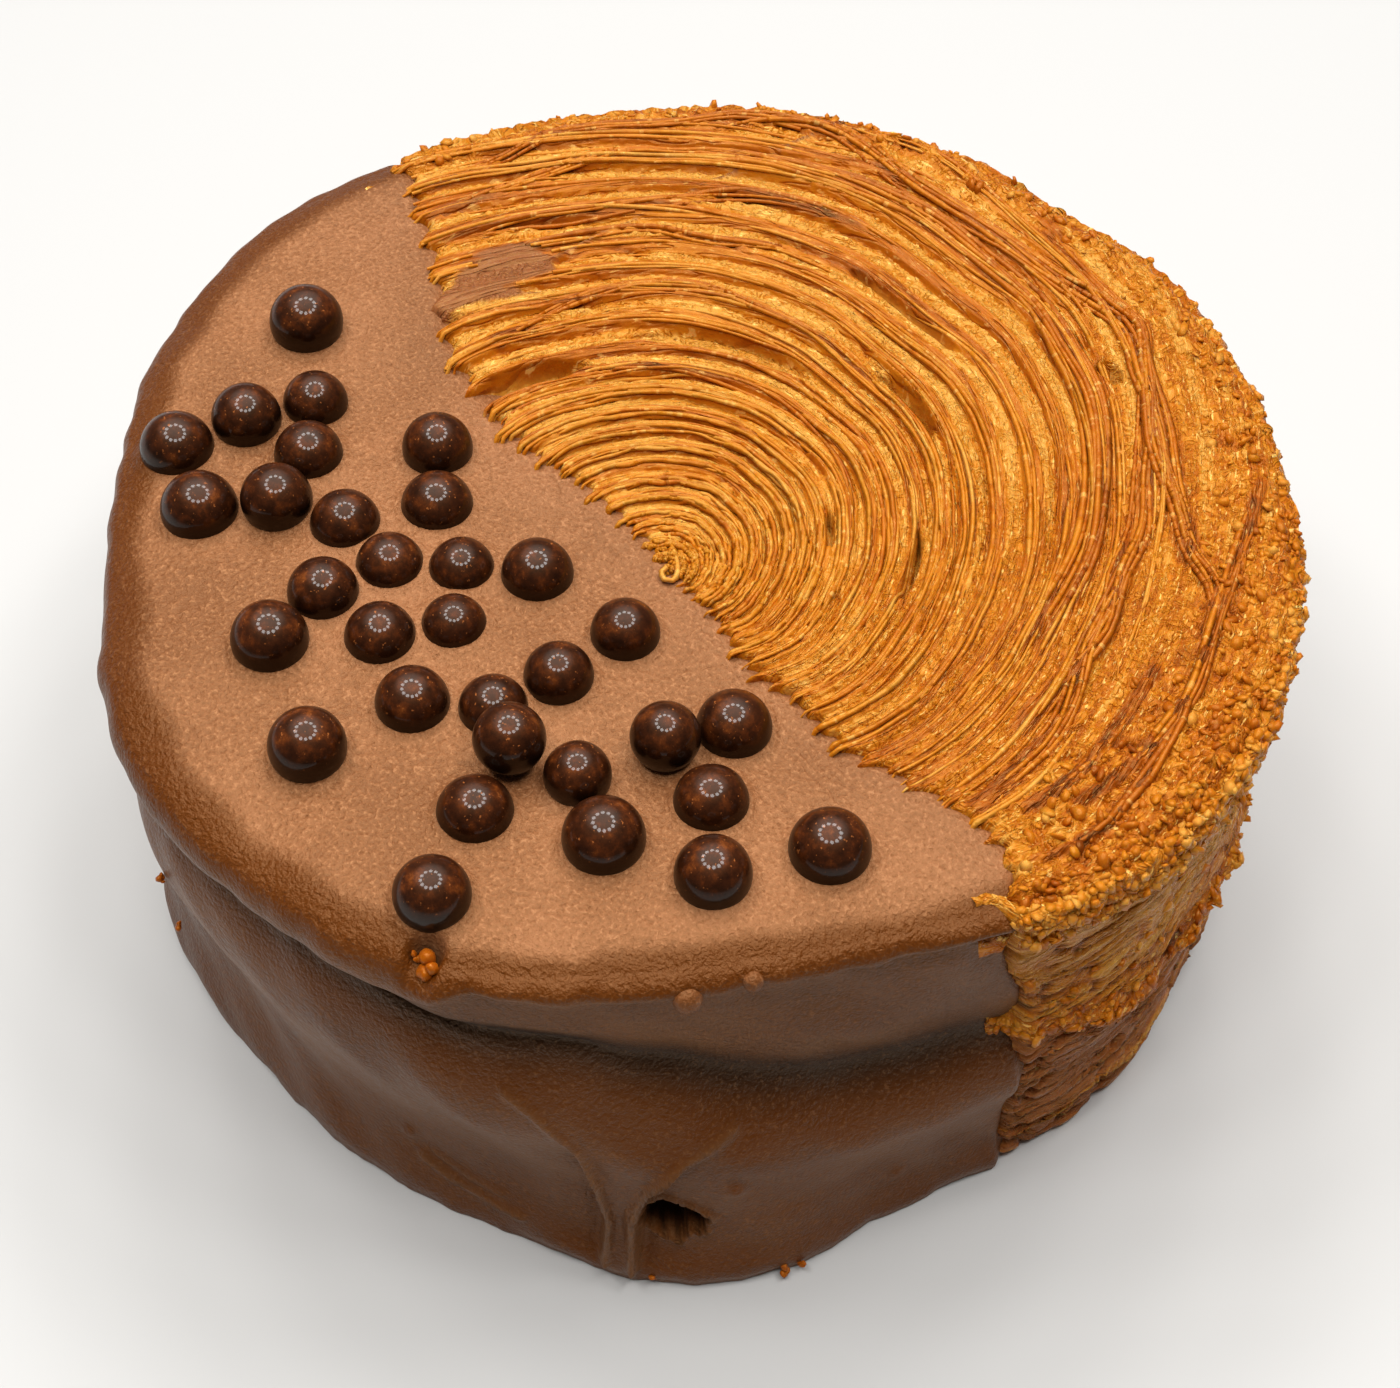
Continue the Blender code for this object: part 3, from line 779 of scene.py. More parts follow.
def noiseNode(tree, coordinates, scale, detail=3.0, roughness=0.55, swirl=0.0):
    inputs = {"Vector": coordinates, "Scale": scale, "Detail": detail, "Roughness": roughness,
              "Distortion": swirl}
    return addNode(tree, "ShaderNodeTexNoise", inputs).outputs["Fac"]


def objectPlace(tree):
    return addNode(tree, "ShaderNodeTexCoord").outputs["Object"]


def attribute(tree, name):
    return addNode(tree, "ShaderNodeAttribute", attribute_name=name).outputs["Fac"]


def bumps(tree, *layers):  # each layer: a height, its strength and its distance in metres
    upon = {}
    for height, strength, distance in layers:
        node = addNode(tree, "ShaderNodeBump",
                       {"Height": height, "Strength": strength, "Distance": distance, **upon})
        upon = {"Normal": node.outputs["Normal"]}
    return upon["Normal"]


crustColours = {
    "pale": srgb(203, 142, 58),
    "gold": srgb(188, 111, 19),
    "amber": srgb(168, 86, 9),
    "brown": srgb(140, 63, 7),
    "deep": srgb(88, 38, 8),
    "crumb": srgb(200, 136, 46),
    "crumbDark": srgb(146, 90, 28),
    "smear": srgb(136, 79, 44),
    "glint": srgb(250, 204, 112),
}


def crustMaterial():
    colours = crustColours
    made, tree = newMaterial("baked crust")
    times, plus, minus = sums(tree)
    place = objectPlace(tree)
    across, along, skin = [attribute(tree, mask) for mask in ("across", "along", "skin")]

    def fibres(acrossScale, alongScale, detail):  # noise drawn out along the layers
        inputs = {0: times(across, acrossScale), 1: times(along, alongScale)}
        return noiseNode(tree, addNode(tree, "ShaderNodeCombineXYZ", inputs).outputs[0], 1.0, detail, 0.6)

    def centred(value, amount):
        return times(minus(value, 0.5), amount)

    def creases(value, sharpness):  # 1 along the lines where a noise passes its middle, 0 elsewhere
        away = mathNode(tree, "ABSOLUTE", minus(value, 0.5), 0)
        return mathNode(tree, "MAXIMUM", minus(1.0, times(away, sharpness)), 0.0)

    fine = fibres(2.5, 0.22, 3)
    finest = fibres(7.0, 0.8, 2)
    gaps = creases(fibres(1.7, 0.14, 2), 22.0)
    specks = noiseNode(tree, place, 1700)
    patches = noiseNode(tree, place, 260)
    folds = times(creases(noiseNode(tree, place, 760, 2, 0.5, 1.2), 9.0), skin)
    lines = times(gaps, minus(1.0, times(skin, 0.8)))
    value = attribute(tree, "toast")
    # painted shade: the dark lines between the laminae and the creases of the crinkles make the colour
    # darker just where the bumps press them in
    for more in (centred(fine, 0.40), centred(finest, 0.26), centred(specks, 0.24), centred(patches, 0.18),
                 times(lines, 0.13), centred(times(folds, 0.9), 0.22)):
        value = plus(value, more)
    baking = ((0.04, "pale"), (0.28, "gold"), (0.52, "amber"), (0.76, "brown"), (1.0, "deep"))
    colour = ramp(tree, value, baking, colours)
    crumb = mixColour(tree, noiseNode(tree, place, 1100, 2), colours["crumb"], colours["crumbDark"])
    colour = mixColour(tree, attribute(tree, "inside"), colour, crumb)
    glints = ramp(tree, fibres(3.8, 0.95, 3), ((0.60, 0), (0.66, 1)))
    paler = plus(0.32, times(skin, 0.40))
    colour = mixColour(tree, times(glints, paler), colour, colours["glint"])
    colour = mixColour(tree, attribute(tree, "smear"), colour, colours["smear"])
    setShader(tree, {
        "Base Color": colour,
        "Roughness": ramp(tree, specks, ((0.35, 0.26), (0.65, 0.50))),
        "Normal": bumps(tree, (fine, 0.7, 0.00028), (finest, 0.5, 0.00014),
                        (minus(1.0, lines), 0.8, 0.00022),
                        (minus(1.0, folds), 0.7, 0.00024), (specks, 0.6, 0.00014)),
        "Subsurface Weight": 0.20,
        "Subsurface Radius": (1.0, 0.42, 0.1),
        "Subsurface Scale": 0.0007,
        "Specular IOR Level": 0.5,
        "Specular Tint": (1.0, 0.64, 0.22, 1),
    })
    return made


# The side colours are darker copies of the top colours: painted shade on the sides. The redder one is
# painted redder shade, the greyish one painted sheen (a greyish reflection of the floor and a highlight on
# the folds), and the hole colour painted shade in the crease and the hollows.
chocolateColours = {
    "light": srgb(149, 97, 62),
    "main": srgb(134, 85, 51),
    "shade": srgb(118, 72, 41),
    "sideLight": srgb(109, 62, 24),
    "side": srgb(94, 50, 16),
    "sideShade": srgb(79, 39, 10),
    "warmShade": srgb(92, 43, 4),
    "paintedSheen": srgb(134, 94, 60),
    "spark": srgb(196, 142, 98),
    "hole": srgb(26, 9, 3),
}


def chocolateMaterial():
    colours = chocolateColours
    made, tree = newMaterial("milk chocolate")
    times, plus, minus = sums(tree)
    place = objectPlace(tree)
    grains = noiseNode(tree, place, 2600, 2, 0.6)
    ripples = noiseNode(tree, place, 900, 3, 0.6, 0.8)
    value = plus(times(noiseNode(tree, place, 45), 0.50), times(grains, 0.50))
    side, warmShade, paintedSheen, hole = [attribute(tree, mask) for mask in ("side", "warmShade", "paintedSheen", "hole")]
    # painted light: the sides take the darker side colours as painted shade, the crease and the hollows the
    # darkest hole colour as painted shade, and two more masks add painted redder shade and painted sheen
    onSide = mathNode(tree, "MINIMUM", side, 1.0)
    inCrease = mathNode(tree, "MAXIMUM", minus(side, 1.0), 0.0)
    colour = ramp(tree, value, ((0.40, "shade"), (0.5, "main"), (0.60, "light")), colours)
    sideColour = ramp(tree, value, ((0.38, "sideShade"), (0.5, "side"), (0.62, "sideLight")), colours)
    sparks = times(ramp(tree, grains, ((0.58, 0), (0.68, 1))), minus(0.26, times(onSide, 0.16)))
    colour = mixColour(tree, onSide, colour, sideColour)
    for factor, name in ((times(warmShade, 0.75), "warmShade"), (times(paintedSheen, 0.40), "paintedSheen"), (inCrease, "hole"),
                         (sparks, "spark"), (hole, "hole")):
        colour = mixColour(tree, factor, colour, colours[name])
    gloss = ramp(tree, grains, ((0.35, 0.33), (0.65, 0.48)))
    setShader(tree, {
        "Base Color": colour,
        "Roughness": mixColour(tree, hole, gloss, (0.9, 0.9, 0.9, 1)),
        "Normal": bumps(tree, (grains, 0.8, 0.00022), (ripples, 0.75, 0.00024)),
        "Subsurface Weight": 0.05,
        "Subsurface Radius": (0.9, 0.4, 0.2),
        "Subsurface Scale": 0.0006,
        "Specular IOR Level": 0.40,
        "Specular Tint": (1.0, 0.62, 0.32, 1),
    })
    return made


pearlColours = {
    "dark": srgb(34, 11, 3),
    "main": srgb(54, 22, 6),
    "brown": srgb(78, 34, 9),
    "light": srgb(114, 57, 18),
    "speck": srgb(146, 82, 38),
    # low is painted shade, for the lower side of each pearl
    "low": srgb(9, 2, 0),
}


def pearlMaterial():
    colours = pearlColours
    made, tree = newMaterial("dark chocolate pearl")
    place = objectPlace(tree)
    clouds = noiseNode(tree, place, 700, 5, 0.68)
    colour = ramp(tree, clouds, ((0.34, "dark"), (0.50, "main"), (0.60, "brown"), (0.72, "light")), colours)
    specks = ramp(tree, noiseNode(tree, place, 2700, 2), ((0.66, 0), (0.72, 1)))
    colour = mixColour(tree, specks, colour, colours["speck"])
    setShader(tree, {
        # painted shade darkens each pearl's lower side
        "Base Color": mixColour(tree, attribute(tree, "low"), colour, colours["low"]),
        "Roughness": ramp(tree, clouds, ((0.3, 0.44), (0.7, 0.54))),
        "Normal": bumps(tree, (noiseNode(tree, place, 900), 0.30, 0.00010)),
        "Coat Weight": 0.42,
        "Coat Roughness": 0.07,
        "Specular IOR Level": 0.20,
        "Specular Tint": (1.0, 0.58, 0.30, 1),
    })
    return made


crustFinish = crustMaterial()
chocolateFinish = chocolateMaterial()
pearlFinish = pearlMaterial()
crustTopPiece.data.materials.append(crustFinish)
crustSidePiece.data.materials.append(crustFinish)

strandLook = {
    "seed": 5,
    "count": 500,
    "girth": (0.14, 0.29),
    "bundleGirth": (0.22, 0.36),
    "sides": 4,
    "flatness": 0.85,
    "unevenness": 0.10,
    "lumpScale": 1400.0,
    "step": 1.5,  # degrees between points
    # the little hook that the innermost layer makes at the eye
    "curl": ((3, -4.6), (4.4, -5.2), (6, -5.8), (7.4, -6.7), (7.9, -7.6), (7.4, -8.1), (6.6, -7.8),
             (6.5, -7.2)),
}


def strandRoutes():
    # each route: places, directions from the eye, layer, girth, baking, and a number of its own
    look = strandLook
    draw = np.random.default_rng(look["seed"])
    routes = []
    for number in range(look["count"]):
        cell = 0.8 + 22 * draw.random() ** 1.35
        if draw.random() < 0.8:
            cell = math.floor(cell) + draw.uniform(0.10, 0.50)
        first = draw.uniform(-14, 172)
        last = first + draw.uniform(14, 60) * (1 + 6 / (2 + cell))
        turn = np.arange(first, last, look["step"])
        layer = np.full(len(turn), np.interp(cell, layerCount, layerTable))
        for sweep in range(5):
            missing = cell - layerCells(layer, alongOf(layer, turn))[1]
            layer = np.maximum(layer + missing * curve(crustTopLook["layerPitch"], layer), 0.3)
        x, y = placeOf(layer + 0.10 * noise2(turn / 9, number * 0.37, 202), turn)
        routes.append((x, y, draw.uniform(*look["girth"]), draw.uniform(0.26, 0.56), number))
    for points, threads, halfWidth in crustTopLook["strands"]:
        line = smoothLine(points, 1.4)
        side = np.gradient(line, axis=0)[:, ::-1] * (1, -1)
        side /= np.hypot(*side.T)[:, None]
        for thread in range(threads):
            share = np.linspace(0, 1, len(line))
            off = (thread - 0.5 * (threads - 1)) * 2 * halfWidth / threads
            off = (off * (1 + 0.5 * noise2(share * 3, thread + 0.4, 201))
                   + 0.35 * noise2(share * 5, thread + len(routes) * 0.31, 206))
            first, last = draw.integers(0, 5), len(line) - draw.integers(0, 5)
            x, y = (line + side * off[:, None])[first:last].T
            routes.append((x, y, draw.uniform(*look["bundleGirth"]), draw.uniform(0.48, 0.72),
                           look["count"] + len(routes)))
    return routes


def buildStrands():
    look = strandLook
    points, edges = [], []
    values = {"girth": [], "toast": [], "across": [], "along": []}

    def lay(x, y, z, size, toast, across, along, shown):
        start = None
        for step in range(len(x)):
            if not shown[step]:
                start = None
                continue
            points.append((x[step], y[step], z[step]))
            for name, value in zip(values, (size[step] * mm, toast[step], across[step], along[step])):
                values[name].append(value)
            if start is not None:
                edges.append((start, len(points) - 1))
            start = len(points) - 1

    for x, y, girth, toast, number in strandRoutes():
        height, masks = crustTop(x, y)
        sunk = underDip(x, y, masks["edge"] + 0.4, roll["crustDrop"])
        rim = outline(np.degrees(np.arctan2(y, x)))
        shown = (np.hypot(x, y) < rim * 0.975) & (sunk < 2.3) & (smearOf(x, y) < 0.3)
        steps = np.arange(len(x))
        taper = np.minimum(smoothStep(0, 5, steps), smoothStep(len(x) - 1, len(x) - 6, steps))
        size = girth * (0.35 + 0.65 * taper) * (1 + 0.25 * noise2(steps / 4, number * 0.53, 204))
        level = np.convolve(np.pad(height, 2, mode="edge"), np.full(5, 0.2), "valid")
        z = roll["height"] + level - sunk - 0.30 * (1 - taper) * girth / 0.2 + 0.02
        baked = toast + 0.14 * noise2(steps / 11, number * 0.91, 205)
        lay(x, y, z, size, baked, masks["across"] + number, masks["along"], shown)
    x, y = smoothLine(look["curl"], 0.4).T
    many = np.ones(len(x))
    z = roll["height"] + np.linspace(-0.35, 0.35, len(x))
    lay(x, y, z, 0.30 * many, 0.24 * many, 3 * many, np.arange(len(x)) * 0.4, many > 0)
    source = newObject("strandRoutes", toMetres(points), edges, [], values)

    tree, given = newTree("strands along routes", (("Sides", "Int"), ("Flatness", "Float")))
    girth = namedValue(tree, "girth")
    route = addNode(tree, "GeometryNodeMeshToCurve", {0: given["Geometry"]}).outputs[0]
    route = addNode(tree, "GeometryNodeSetCurveRadius", {"Curve": route, "Radius": girth}).outputs[0]
    route = addNode(tree, "GeometryNodeSetCurveNormal", {"Curve": route}, mode="Z_UP").outputs[0]
    circle = addNode(tree, "GeometryNodeCurvePrimitiveCircle",
                     {"Radius": 1.0, "Resolution": given["Sides"]},
                     mode="RADIUS").outputs["Curve"]
    squash = addNode(tree, "ShaderNodeCombineXYZ", {"X": 1.0, "Y": given["Flatness"], "Z": 1.0}).outputs[0]
    profile = addNode(tree, "GeometryNodeTransform", {"Geometry": circle, "Scale": squash}).outputs[0]
    strands = addNode(tree, "GeometryNodeCurveToMesh",
                      {"Curve": route, "Profile Curve": profile, "Fill Caps": True})
    if "Scale" in strands.inputs:
        setInputs(tree, strands, {"Scale": girth})
    endTree(tree, given, strands.outputs[0])
    return runTree(source, tree, "crustStrands", {
        "Sides": look["sides"], "Flatness": look["flatness"], "Unevenness": look["unevenness"] * mm,
        "Lump Scale": look["lumpScale"], "Finish": crustFinish})


crustStrands = buildStrands()

grainLook = {
    "seed": 8,
    "density": 1.7e6,  # crumbs per square metre where the crust is most granular
    "size": (0.00024, 0.00062),
    "stretch": (0.7, 1.8),
    "flatness": 0.50,
    "lean": ((-0.5, -0.5, 0), (0.5, 0.5, 6.28)),
    "shade": (-0.27, 0.05),  # how much less or more baked than its place each one is
    "roundness": 1,
    "unevenness": 0.00080,
    "lumpScale": 1100.0,
}


def buildGrains():
    # blistered lumps that sit on the granular parts of the rim and the side
    look = grainLook
    points, faces, grain, toast = [], [], [], []
    for ground in (crustTopPiece, crustSidePiece):
        places = np.empty(len(ground.data.vertices) * 3)
        ground.data.vertices.foreach_get("co", places)
        x, y = places[0::3] / mm - roll["middle"][0], places[1::3] / mm - roll["middle"][1]
        values = (readMask(ground, "crumbs") * smoothStep(-0.3, 0.9, y - dipEdge(x))
                  * (places[2::3] > 2.5 * mm))
        at = len(points)
        faces += [tuple(at + i for i in face.vertices) for face in ground.data.polygons
                  if max(values[i] for i in face.vertices) > 0.05]
        points += places.reshape(-1, 3).tolist()
        grain += values.tolist()
        toast += readMask(ground, "toast").tolist()
    source = newObject("grainGround", points, [], faces, {"density": grain, "toast": toast})

    tree, given = newTree("lumps over a surface", (
        ("Density", "Float"), ("Smallest", "Float"), ("Largest", "Float"), ("Flatness", "Float"),
        ("Roundness", "Int"), ("Seed", "Int")))
    density = mathNode(tree, "MULTIPLY", namedValue(tree, "density"), given["Density"])
    scatter = addNode(tree, "GeometryNodeDistributePointsOnFaces", {
        "Mesh": given["Geometry"], "Density": density, "Seed": given["Seed"]}, distribute_method="RANDOM")
    shade = mathNode(tree, "ADD", namedValue(tree, "toast"), randomNode(tree, *look["shade"]))
    stored = {"Geometry": scatter.outputs["Points"], "Name": "toast", "Value": shade}
    shaded = addNode(tree, "GeometryNodeStoreNamedAttribute", stored, data_type="FLOAT", domain="POINT")
    turns = {"Rotation": scatter.outputs["Rotation"], "Rotate By": randomNode(tree, *look["lean"])}
    lean = addNode(tree, "FunctionNodeRotateRotation", turns, rotation_space="LOCAL")
    size = randomNode(tree, given["Smallest"], given["Largest"], given["Seed"])
    sizes = addNode(tree, "ShaderNodeCombineXYZ", {
        "X": mathNode(tree, "MULTIPLY", size, randomNode(tree, *look["stretch"])), "Y": size,
        "Z": mathNode(tree, "MULTIPLY", size, given["Flatness"])})
    endWithBalls(tree, given, shaded.outputs[0], lean.outputs[0], sizes.outputs[0])
    return runTree(source, tree, "crustGrains", {
        "Density": look["density"], "Smallest": look["size"][0], "Largest": look["size"][1],
        "Flatness": look["flatness"], "Roundness": look["roundness"], "Unevenness": look["unevenness"],
        "Lump Scale": look["lumpScale"], "Seed": look["seed"], "Finish": crustFinish})


crustGrains = buildGrains()
print("strands", len(crustStrands.data.polygons), "faces")
print("grains", len(crustGrains.data.polygons), "faces")

coatLook = {
    # by direction in degrees, heights in mm: the lip's lower edge and the crease under it
    "lipLow": ((172, 42.4), (200, 41.6), (235, 41.0), (272, 40.8), (283, 40.4), (292, 40.4), (299, 40.4),
               (302.5, 40.8), (304.5, 42.1), (307, 42.6), (309.4, 42.9), (312, 42.6), (314.2, 42.1),
               (317, 42.4), (320, 42.5), (326, 42.2), (330, 42.7), (335, 42.4), (341, 42.1), (347, 42.6),
               (353, 43.0), (360, 43.0)),
    "crease": ((172, 36), (200, 37), (235, 37.0), (270, 36.8), (290, 36.0), (305, 33.6), (315, 31.9),
               (325, 27.6), (332, 24.6), (342, 22.8), (353, 22.4), (360, 22.4)),
    # how far the side stands out (mm), from the floor (0) over the crease (1) and the lip's lower edge (2)
    # to the top (3)
    "profile": ((0, -0.1), (0.02, 0.35), (0.06, 0.30), (0.12, -0.2), (0.22, -0.9), (0.40, -1.0),
                (0.58, -0.1), (0.70, 0.75), (0.80, 0.55), (0.90, -0.45), (0.97, -1.8), (1.06, -2.9),
                (1.16, -2.6), (1.4, -1.6), (1.7, -1.1), (1.9, -0.8), (1.97, -0.65), (2.0, 0.0),
                (2.08, 0.35), (2.3, 0.42), (2.5, 0.3), (2.75, -0.1), (2.9, -0.55), (3.0, -1.2)),
    "footTrim": ((200, 0), (290, 0.4), (325, 0.5), (335, -0.2), (343, -1.2), (351, -1.0), (357, -0.3),
                 (375, 0)),
    "rollOver": 4.9,  # the top falls away over this width along the lip
    "rollDepth": 1.6,  # where the lip is deep; where it is thin, less
    "lipReach": ((168, 1.3), (238, 1.3), (265, 0.4), (290, 0.0), (300, -0.3), (306, -0.95), (345, -0.95),
                 (356, -0.6)),
    "wave": 0.45,
    "sideWave": 0.5,
    # folds of the run down the side: places (direction, height), half width, how far each stands out
    "folds": (
        (((308.0, 28.5), (310.7, 26.2), (314.4, 21.5), (315.9, 16.6), (316.8, 9.4), (316.2, 2.5)), 0.42,
         1.35),
        (((328.6, 22.4), (326.2, 21.2), (323.3, 19.4), (320.9, 16.4), (319.1, 10.4), (319.2, 2.5)), 0.5,
         1.25),
        (((296.5, 6.4), (299.5, 5.0), (303.5, 4.4), (307.5, 4.2)), 0.5, 0.5),
        (((298.0, 7.6), (302.0, 6.4), (305.5, 6.2)), 0.4, 0.35),
    ),
    # the run's own edges by height, how much thicker it is between them, and where it fades out upwards
    "stemLeft": ((0.0, 316.5), (10.0, 316.7), (16.5, 315.9), (21.5, 314.4), (26.5, 310.7)),
    "stemRight": ((0.0, 319.0), (10.0, 319.1), (16.5, 320.9), (21.5, 325.0), (26.5, 333.0)),
    "stemRise": 0.55,
    "stemTop": (16.0, 23.0),
    "hole": (322.8, 9.2, 2.6),  # the burst bubble: direction, height, radius
    "holeDepth": 2.9,
    # round bumps: direction, height, radius, how far each stands out
    "bumps": ((328.8, 14.6, 0.8, 0.55), (295.0, 9.4, 0.8, 0.6), (314.2, 43.6, 1.0, 0.5),
              (303.2, 42.2, 1.3, 0.7), (346.0, 6.0, 0.7, 0.4)),
    "pit": (27.0, -44.4, 1.5, 1.7),  # a small opening in the top: place, half sizes
    "pitDepth": 1.0,
    "meniscus": 0.32,
    "edgeReach": 5.0,  # over this length the chocolate sinks in between the layers
    "edgeDrop": 2.2,
    "overlap": 4.0,  # how far it goes on past its edge
    # the mesh: stretches of directions with their steps, levels at the lip, rings below and on top
    "aroundSteps": ((0, 8, 0.5), (8, 168, 2.0), (168, 286, 0.56), (286, 346, 0.32), (346, 360, 0.5)),
    "lipLevels": (1.93, 1.955, 1.97, 1.98, 1.99, 2.0, 2.03, 2.07, 2.13, 2.22, 2.32, 2.44, 2.56, 2.68, 2.8,
                  2.9, 2.96, 3.0),
    "undersideShares": (0.02, 0.4, 0.8, 0.95),
    "topShares": ((0.994, 0.84, 28), (0.83, 0.5, 40), (0.49, 0.25, 28), (0.242, 0.01, 24)),
}

pearlNodes = sorted(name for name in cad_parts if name.startswith("pearl_"))


def pearlSpot(name):  # the middle of a pearl and its radius
    low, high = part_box(name)
    return (low + high) / 2, 0.5 * max(high - low)


pearlSpots = [pearlSpot(name) for name in pearlNodes]


def fromPit(x, y):  # distance to the middle of the small opening in the top, in its half sizes
    px, py, halfLong, halfShort = coatLook["pit"]
    return np.hypot((x - px) / halfLong, (y - py) / halfShort)


degreeLength = roll["radius"] * math.pi / 180  # mm along the side for each degree


def fromPath(angle, z, places):  # distance in mm to a route over the side
    best = np.full(np.shape(z), 99.0)
    for (firstAngle, firstZ), (lastAngle, lastZ) in zip(places, places[1:]):
        ax, az = (angle - firstAngle) * degreeLength, z - firstZ
        bx, bz = (lastAngle - firstAngle) * degreeLength, lastZ - firstZ
        part = np.clip((ax * bx + az * bz) / (bx * bx + bz * bz), 0, 1)
        best = np.minimum(best, np.hypot(ax - part * bx, az - part * bz))
    return best


def coatTopLevel(x, y):
    look = coatLook
    wave = noise2(x / 17, y / 17, 300) * 0.8 + 0.25 * noise2(x / 6, y / 6, 301)
    level = roll["height"] - 0.25 + look["wave"] * wave
    angle = np.degrees(np.arctan2(y, x))
    fromLip = outline(angle) + curve(look["lipReach"], angle % 360) - np.hypot(x, y)
    fall = np.clip(1 - fromLip / (look["rollOver"] * (1 + 0.25 * noise2(angle / 9, 0.5, 302))), 0, 1) ** 2
    lipLow = curve(look["lipLow"], angle % 360)
    level -= np.clip(0.55 * (roll["height"] - lipLow), 0.55, look["rollDepth"]) * fall
    for middle, girth in pearlSpots:
        cx, cy, cz = np.array(middle) / mm - (*roll["middle"], 0)
        radius = girth / mm
        touch = math.sqrt(max(radius ** 2 - (cz - roll["height"] + 0.2) ** 2, 0.1))
        away = np.hypot(x - cx, y - cy) - touch
        level += look["meniscus"] * hill(away / 0.55) * (away > -1.2)
    away = fromPit(x, y)
    return level - (look["pitDepth"] * smoothStep(1.15, 0.6, away) - 0.08 * hill((away - 1.3) / 0.25))


# level counts from the floor (0) over the crease (1) and the lip's lower edge (2) to the top (3)
def coatSide(angle, level):
    look = coatLook
    crease = curve(look["crease"], angle) + 0.5 * noise2(angle / 7, 0.2, 303)
    lipLow = curve(look["lipLow"], angle) + 0.26 * noise2(angle / 3.4, 0.6, 304)
    reach = curve(look["lipReach"], angle)
    top = coatTopLevel(*polar(angle, outline(angle) + reach - 1.2))
    onLip = np.where(level < 2, crease + (level - 1) * (lipLow - crease), lipLow
                     + (level - 2) * (top - lipLow))
    z = np.where(level < 1, level * crease, onLip)
    levels, outs = zip(*look["profile"])
    nudge = 0.03 * np.minimum(1, np.abs(level - 2) * 8) + 0.004
    out = np.mean([np.interp(np.clip(level + shift * nudge, 0, 3), levels, outs)
                   for shift in (-1, -0.4, 0.4, 1)], axis=0)
    out = np.where(level > 2.97, np.interp(level, levels, outs), out)
    foot = (roll["radius"] * (roll["footShare"] + swelling(angle, roll["footSwells"]))
            + curve(look["footTrim"], angle))
    atFoot = smoothStep(crease + 1.0, 0.2 * crease, z)
    base = outline(angle) * (1 - atFoot) + foot * atFoot

    # soft waves, then the run with its folds
    along = np.radians(angle) * roll["radius"]
    body = smoothStep(0.0, 3.0, z) * smoothStep(2.0, 1.8, level)
    out += (body * (look["sideWave"] * noise2(along / 15, z / 13, 310)
                    + 0.35 * noise2((along + z) / 7, (z - along) / 22, 311)))
    folds = np.zeros_like(z)
    for places, halfWidth, tall in look["folds"]:
        folds = np.maximum(folds, tall * hill(fromPath(angle, z, places) / halfWidth))
    folds *= smoothStep(0.4, 2.4, z) * (0.30 + 0.70 * smoothStep(23, 17, z))
    fromLeft = (angle - curve(look["stemLeft"], z)) * degreeLength
    fromRight = (angle - curve(look["stemRight"], z)) * degreeLength
    stem = smoothStep(-0.5, 0.4, fromLeft) * smoothStep(-0.5, 0.4, -fromRight)
    stem *= smoothStep(look["stemTop"][1], look["stemTop"][0], z) * smoothStep(0.3, 2.6, z)
    beside = hill((fromLeft + 2.6) / 2.2) + 0.8 * hill((fromRight - 2.8) / 2.2)
    beside *= smoothStep(24, 14, z) * smoothStep(1.5, 5, z)
    under = smoothStep(-0.3, 0.3, -fromLeft) * hill((-fromLeft - 0.9) / 1.1)
    under += smoothStep(-0.3, 0.3, fromRight) * hill((fromRight - 0.9) / 1.1)
    under *= smoothStep(23, 17, z) * smoothStep(1.0, 3.5, z)
    out += folds + look["stemRise"] * stem - (0.60 * beside + 0.65 * under) * (1 - stem)

    # the burst bubble: a ragged hole in a thin shell
    holeAngle, holeZ, holeRadius = look["hole"]
    ax, az = (angle - holeAngle) * degreeLength, z - holeZ
    turn = np.arctan2(az, ax)
    ragged = (holeRadius * (1 + 0.22 * noise2(9 + 2.1 * np.cos(turn), 2.1 * np.sin(turn), 314)
                            + 0.05 * np.cos(3 * turn)))
    away = np.hypot(ax / 1.08, az / 0.96) / ragged
    hole = smoothStep(1.05, 0.80, away)
    shell = hill((away - 1.13) / 0.10) * (1 + 0.9 * noise2(3.0 * np.cos(turn), 3.0 * np.sin(turn), 315))
    out += 0.45 * shell - look["holeDepth"] * hole
    for bumpAngle, bumpZ, halfWidth, tall in look["bumps"]:
        away = np.hypot((angle - bumpAngle) * degreeLength, z - bumpZ) / halfWidth
        out += tall * hill(away * 0.9)
    foot = smoothStep(2.2, 0.4, z)
    out += foot * (0.35 * noise2(along / 4.5, 0.4, 316) + 0.10 * noise2(along / 1.4, 0.4, 317))
    waved = (reach + 0.36 * noise2(angle / 3.8, 0.4, 319)) * smoothStep(1.3, 2.0, level)
    out += waved * smoothStep(3.0, 2.6, level) + reach * smoothStep(2.6, 3.0, level)

    hole = smoothStep(0.02, 0.35, hole)
    # painted shade: side is 1 all over the side, for the darker side colours, and rises above 1 for darker
    # painted shade in the crease under the lip; hole is painted shade inside the burst bubble; fold is where
    # painted sheen goes, on the folds and the bubble's shell
    return base + out, z, {
        "side": 1.0 + 0.95 * hill((z - crease - 0.9) / 2.7),
        "hole": hole,
        "fold": np.clip(folds * 2 + 0.9 * shell * (1 - hole), 0, 1),
    }


